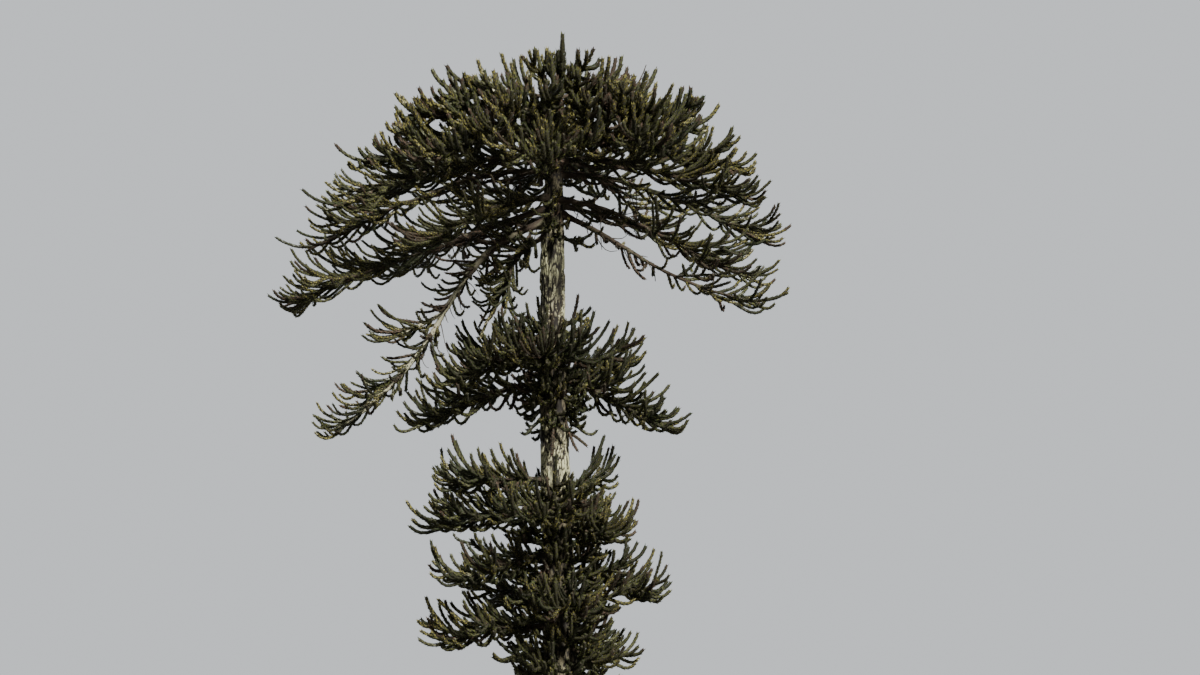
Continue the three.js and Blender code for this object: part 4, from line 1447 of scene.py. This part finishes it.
class TREE_OT_leaves(bpy.types.Operator):
    """Covers the shoots with leaves, a piece for each colour and region"""

    bl_idname = "tree.leaves"
    bl_label = "Leaves"

    def execute(self, context):
        sizes = context.scene.tree_sizes
        for region, tiers in REGIONS.items():
            nodes = [limb["name"] + "_foliage" for limb in region_limbs(region)]
            for seed, tone in enumerate(TONES):
                shoots = [
                    shoot for shoot in grown_shoots()
                    if shoot.limb["tier"] in tiers and shoot.tone == tone
                ]
                material = leaf_material(tone)
                name = f"{region}_leaves_{tone}"
                mesh = grown_mesh(name, path_mesh(name, shoots), leaf_tree(), {
                    "Leaf length": sizes.leaf_length, "Leaf width": sizes.leaf_width,
                    "Leaf thickness": sizes.leaf_thickness, "Leaf spacing": sizes.leaf_spacing,
                    "Leaf angle": sizes.leaf_angle, "Seed": seed, "Material": material,
                })
                new_piece(name, mesh, material, nodes)
        return {"FINISHED"}


class TREE_OT_stage(bpy.types.Operator):
    """Makes the floor, the light and the camera"""

    bl_idname = "tree.stage"
    bl_label = "Stage"

    def execute(self, context):
        make_floor()
        make_light(context.scene)
        make_camera(context.scene)
        return {"FINISHED"}


class TREE_PT_sidebar(bpy.types.Panel):
    """Lists the steps that make the tree"""

    bl_idname = "TREE_PT_sidebar"
    bl_label = "Monkey puzzle tree"
    bl_space_type = "VIEW_3D"
    bl_region_type = "UI"
    bl_category = "Tree"

    def draw(self, context):
        for operator in STEPS:
            self.layout.operator(operator.bl_idname)
        for group in (context.scene.tree_sizes, context.scene.tree_colours):
            for word in group.__annotations__:
                self.layout.prop(group, word)


# Stage

FLOOR_RADIUS = 60
FLOOR_PAINT = 0xAFADA8
FLOOR_BOUNCE = 0x5A5853
# Each lamp: its name, colour, strength, softness in degrees, and the side that it shines from
LAMPS = (
    ("soft_sun", 0xFFFBF5, 9.0, 6, (0.45, -0.86, 0.72)),
    ("back_light", 0xF4F7FF, 2.2, 30, (-0.55, 0.8, 0.5)),
)
CAMERA_PLACE = (0.688, -45.0, 5.0)
CAMERA_TARGET = (0.688, 0.0, 9.368)
CAMERA_LENS = 84.4


def make_floor():
    corners = 96
    ring = [
        (FLOOR_RADIUS * math.cos(2 * math.pi * i / corners),
         FLOOR_RADIUS * math.sin(2 * math.pi * i / corners), -0.002)
        for i in range(corners)
    ]
    mesh = bpy.data.meshes.new("floor")
    mesh.from_pydata(ring, [], [tuple(range(corners))])
    floor = bpy.data.objects.new("floor", mesh)
    bpy.context.scene.collection.objects.link(floor)
    # painted board: it looks pale, but throws as little light back up into the crown as earth does
    material, tree, shader = new_material("pale_studio_floor")
    seen = add_node(tree, "ShaderNodeLightPath").outputs["Is Camera Ray"]
    paint = mix_colours(tree, seen, opaque(linear(FLOOR_BOUNCE)), opaque(linear(FLOOR_PAINT)))
    tree.links.new(paint, shader.inputs["Base Color"])
    shader.inputs["Roughness"].default_value = 0.9
    mesh.materials.append(material)


def make_light(scene):
    world = bpy.data.worlds.new("studio")
    world.use_nodes = True
    tree = world.node_tree
    fill = tree.nodes["Background"]
    fill.inputs["Color"].default_value = opaque(linear(0xF2F6FC))
    fill.inputs["Strength"].default_value = 0.2
    backdrop = add_node(
        tree, "ShaderNodeBackground", {"Color": opaque(linear(0xDDE1E5)), "Strength": 1.0})
    seen = add_node(tree, "ShaderNodeLightPath").outputs["Is Camera Ray"]
    both = add_node(tree, "ShaderNodeMixShader", {0: seen, 1: fill, 2: backdrop})
    tree.links.new(both.outputs["Shader"], tree.nodes["World Output"].inputs["Surface"])
    scene.world = world
    for name, colour, energy, softness, place in LAMPS:
        lamp = bpy.data.lights.new(name, "SUN")
        lamp.energy = energy
        lamp.angle = math.radians(softness)
        lamp.color = linear(colour)
        sun = bpy.data.objects.new(name, lamp)
        sun.rotation_euler = Vector(place).to_track_quat("Z", "Y").to_euler()
        scene.collection.objects.link(sun)


def make_camera(scene):
    lens = bpy.data.cameras.new("camera")
    lens.lens = CAMERA_LENS
    lens.clip_end = 400
    camera = bpy.data.objects.new("camera", lens)
    camera.location = CAMERA_PLACE
    looking = Vector(CAMERA_TARGET) - Vector(CAMERA_PLACE)
    camera.rotation_euler = looking.to_track_quat("-Z", "Y").to_euler()
    scene.collection.objects.link(camera)
    scene.camera = camera


# Registration

STEPS = (TREE_OT_stage, TREE_OT_trunk, TREE_OT_limbs, TREE_OT_shoots, TREE_OT_leaves)
CLASSES = (TreeSizes, TreeColours, *STEPS, TREE_PT_sidebar)


def register():
    noise.seed_set(SEED)  # without it the fields of noise_vector differ from run to run
    for kind in CLASSES:
        bpy.utils.register_class(kind)
    bpy.types.Scene.tree_sizes = bpy.props.PointerProperty(type=TreeSizes)
    bpy.types.Scene.tree_colours = bpy.props.PointerProperty(type=TreeColours)


def unregister():
    del bpy.types.Scene.tree_colours
    del bpy.types.Scene.tree_sizes
    for kind in reversed(CLASSES):
        bpy.utils.unregister_class(kind)


def main():
    register()
    bpy.ops.tree.stage()
    bpy.ops.tree.trunk()
    bpy.ops.tree.limbs()
    bpy.ops.tree.shoots()
    bpy.ops.tree.leaves()


if __name__ == "__main__":
    main()
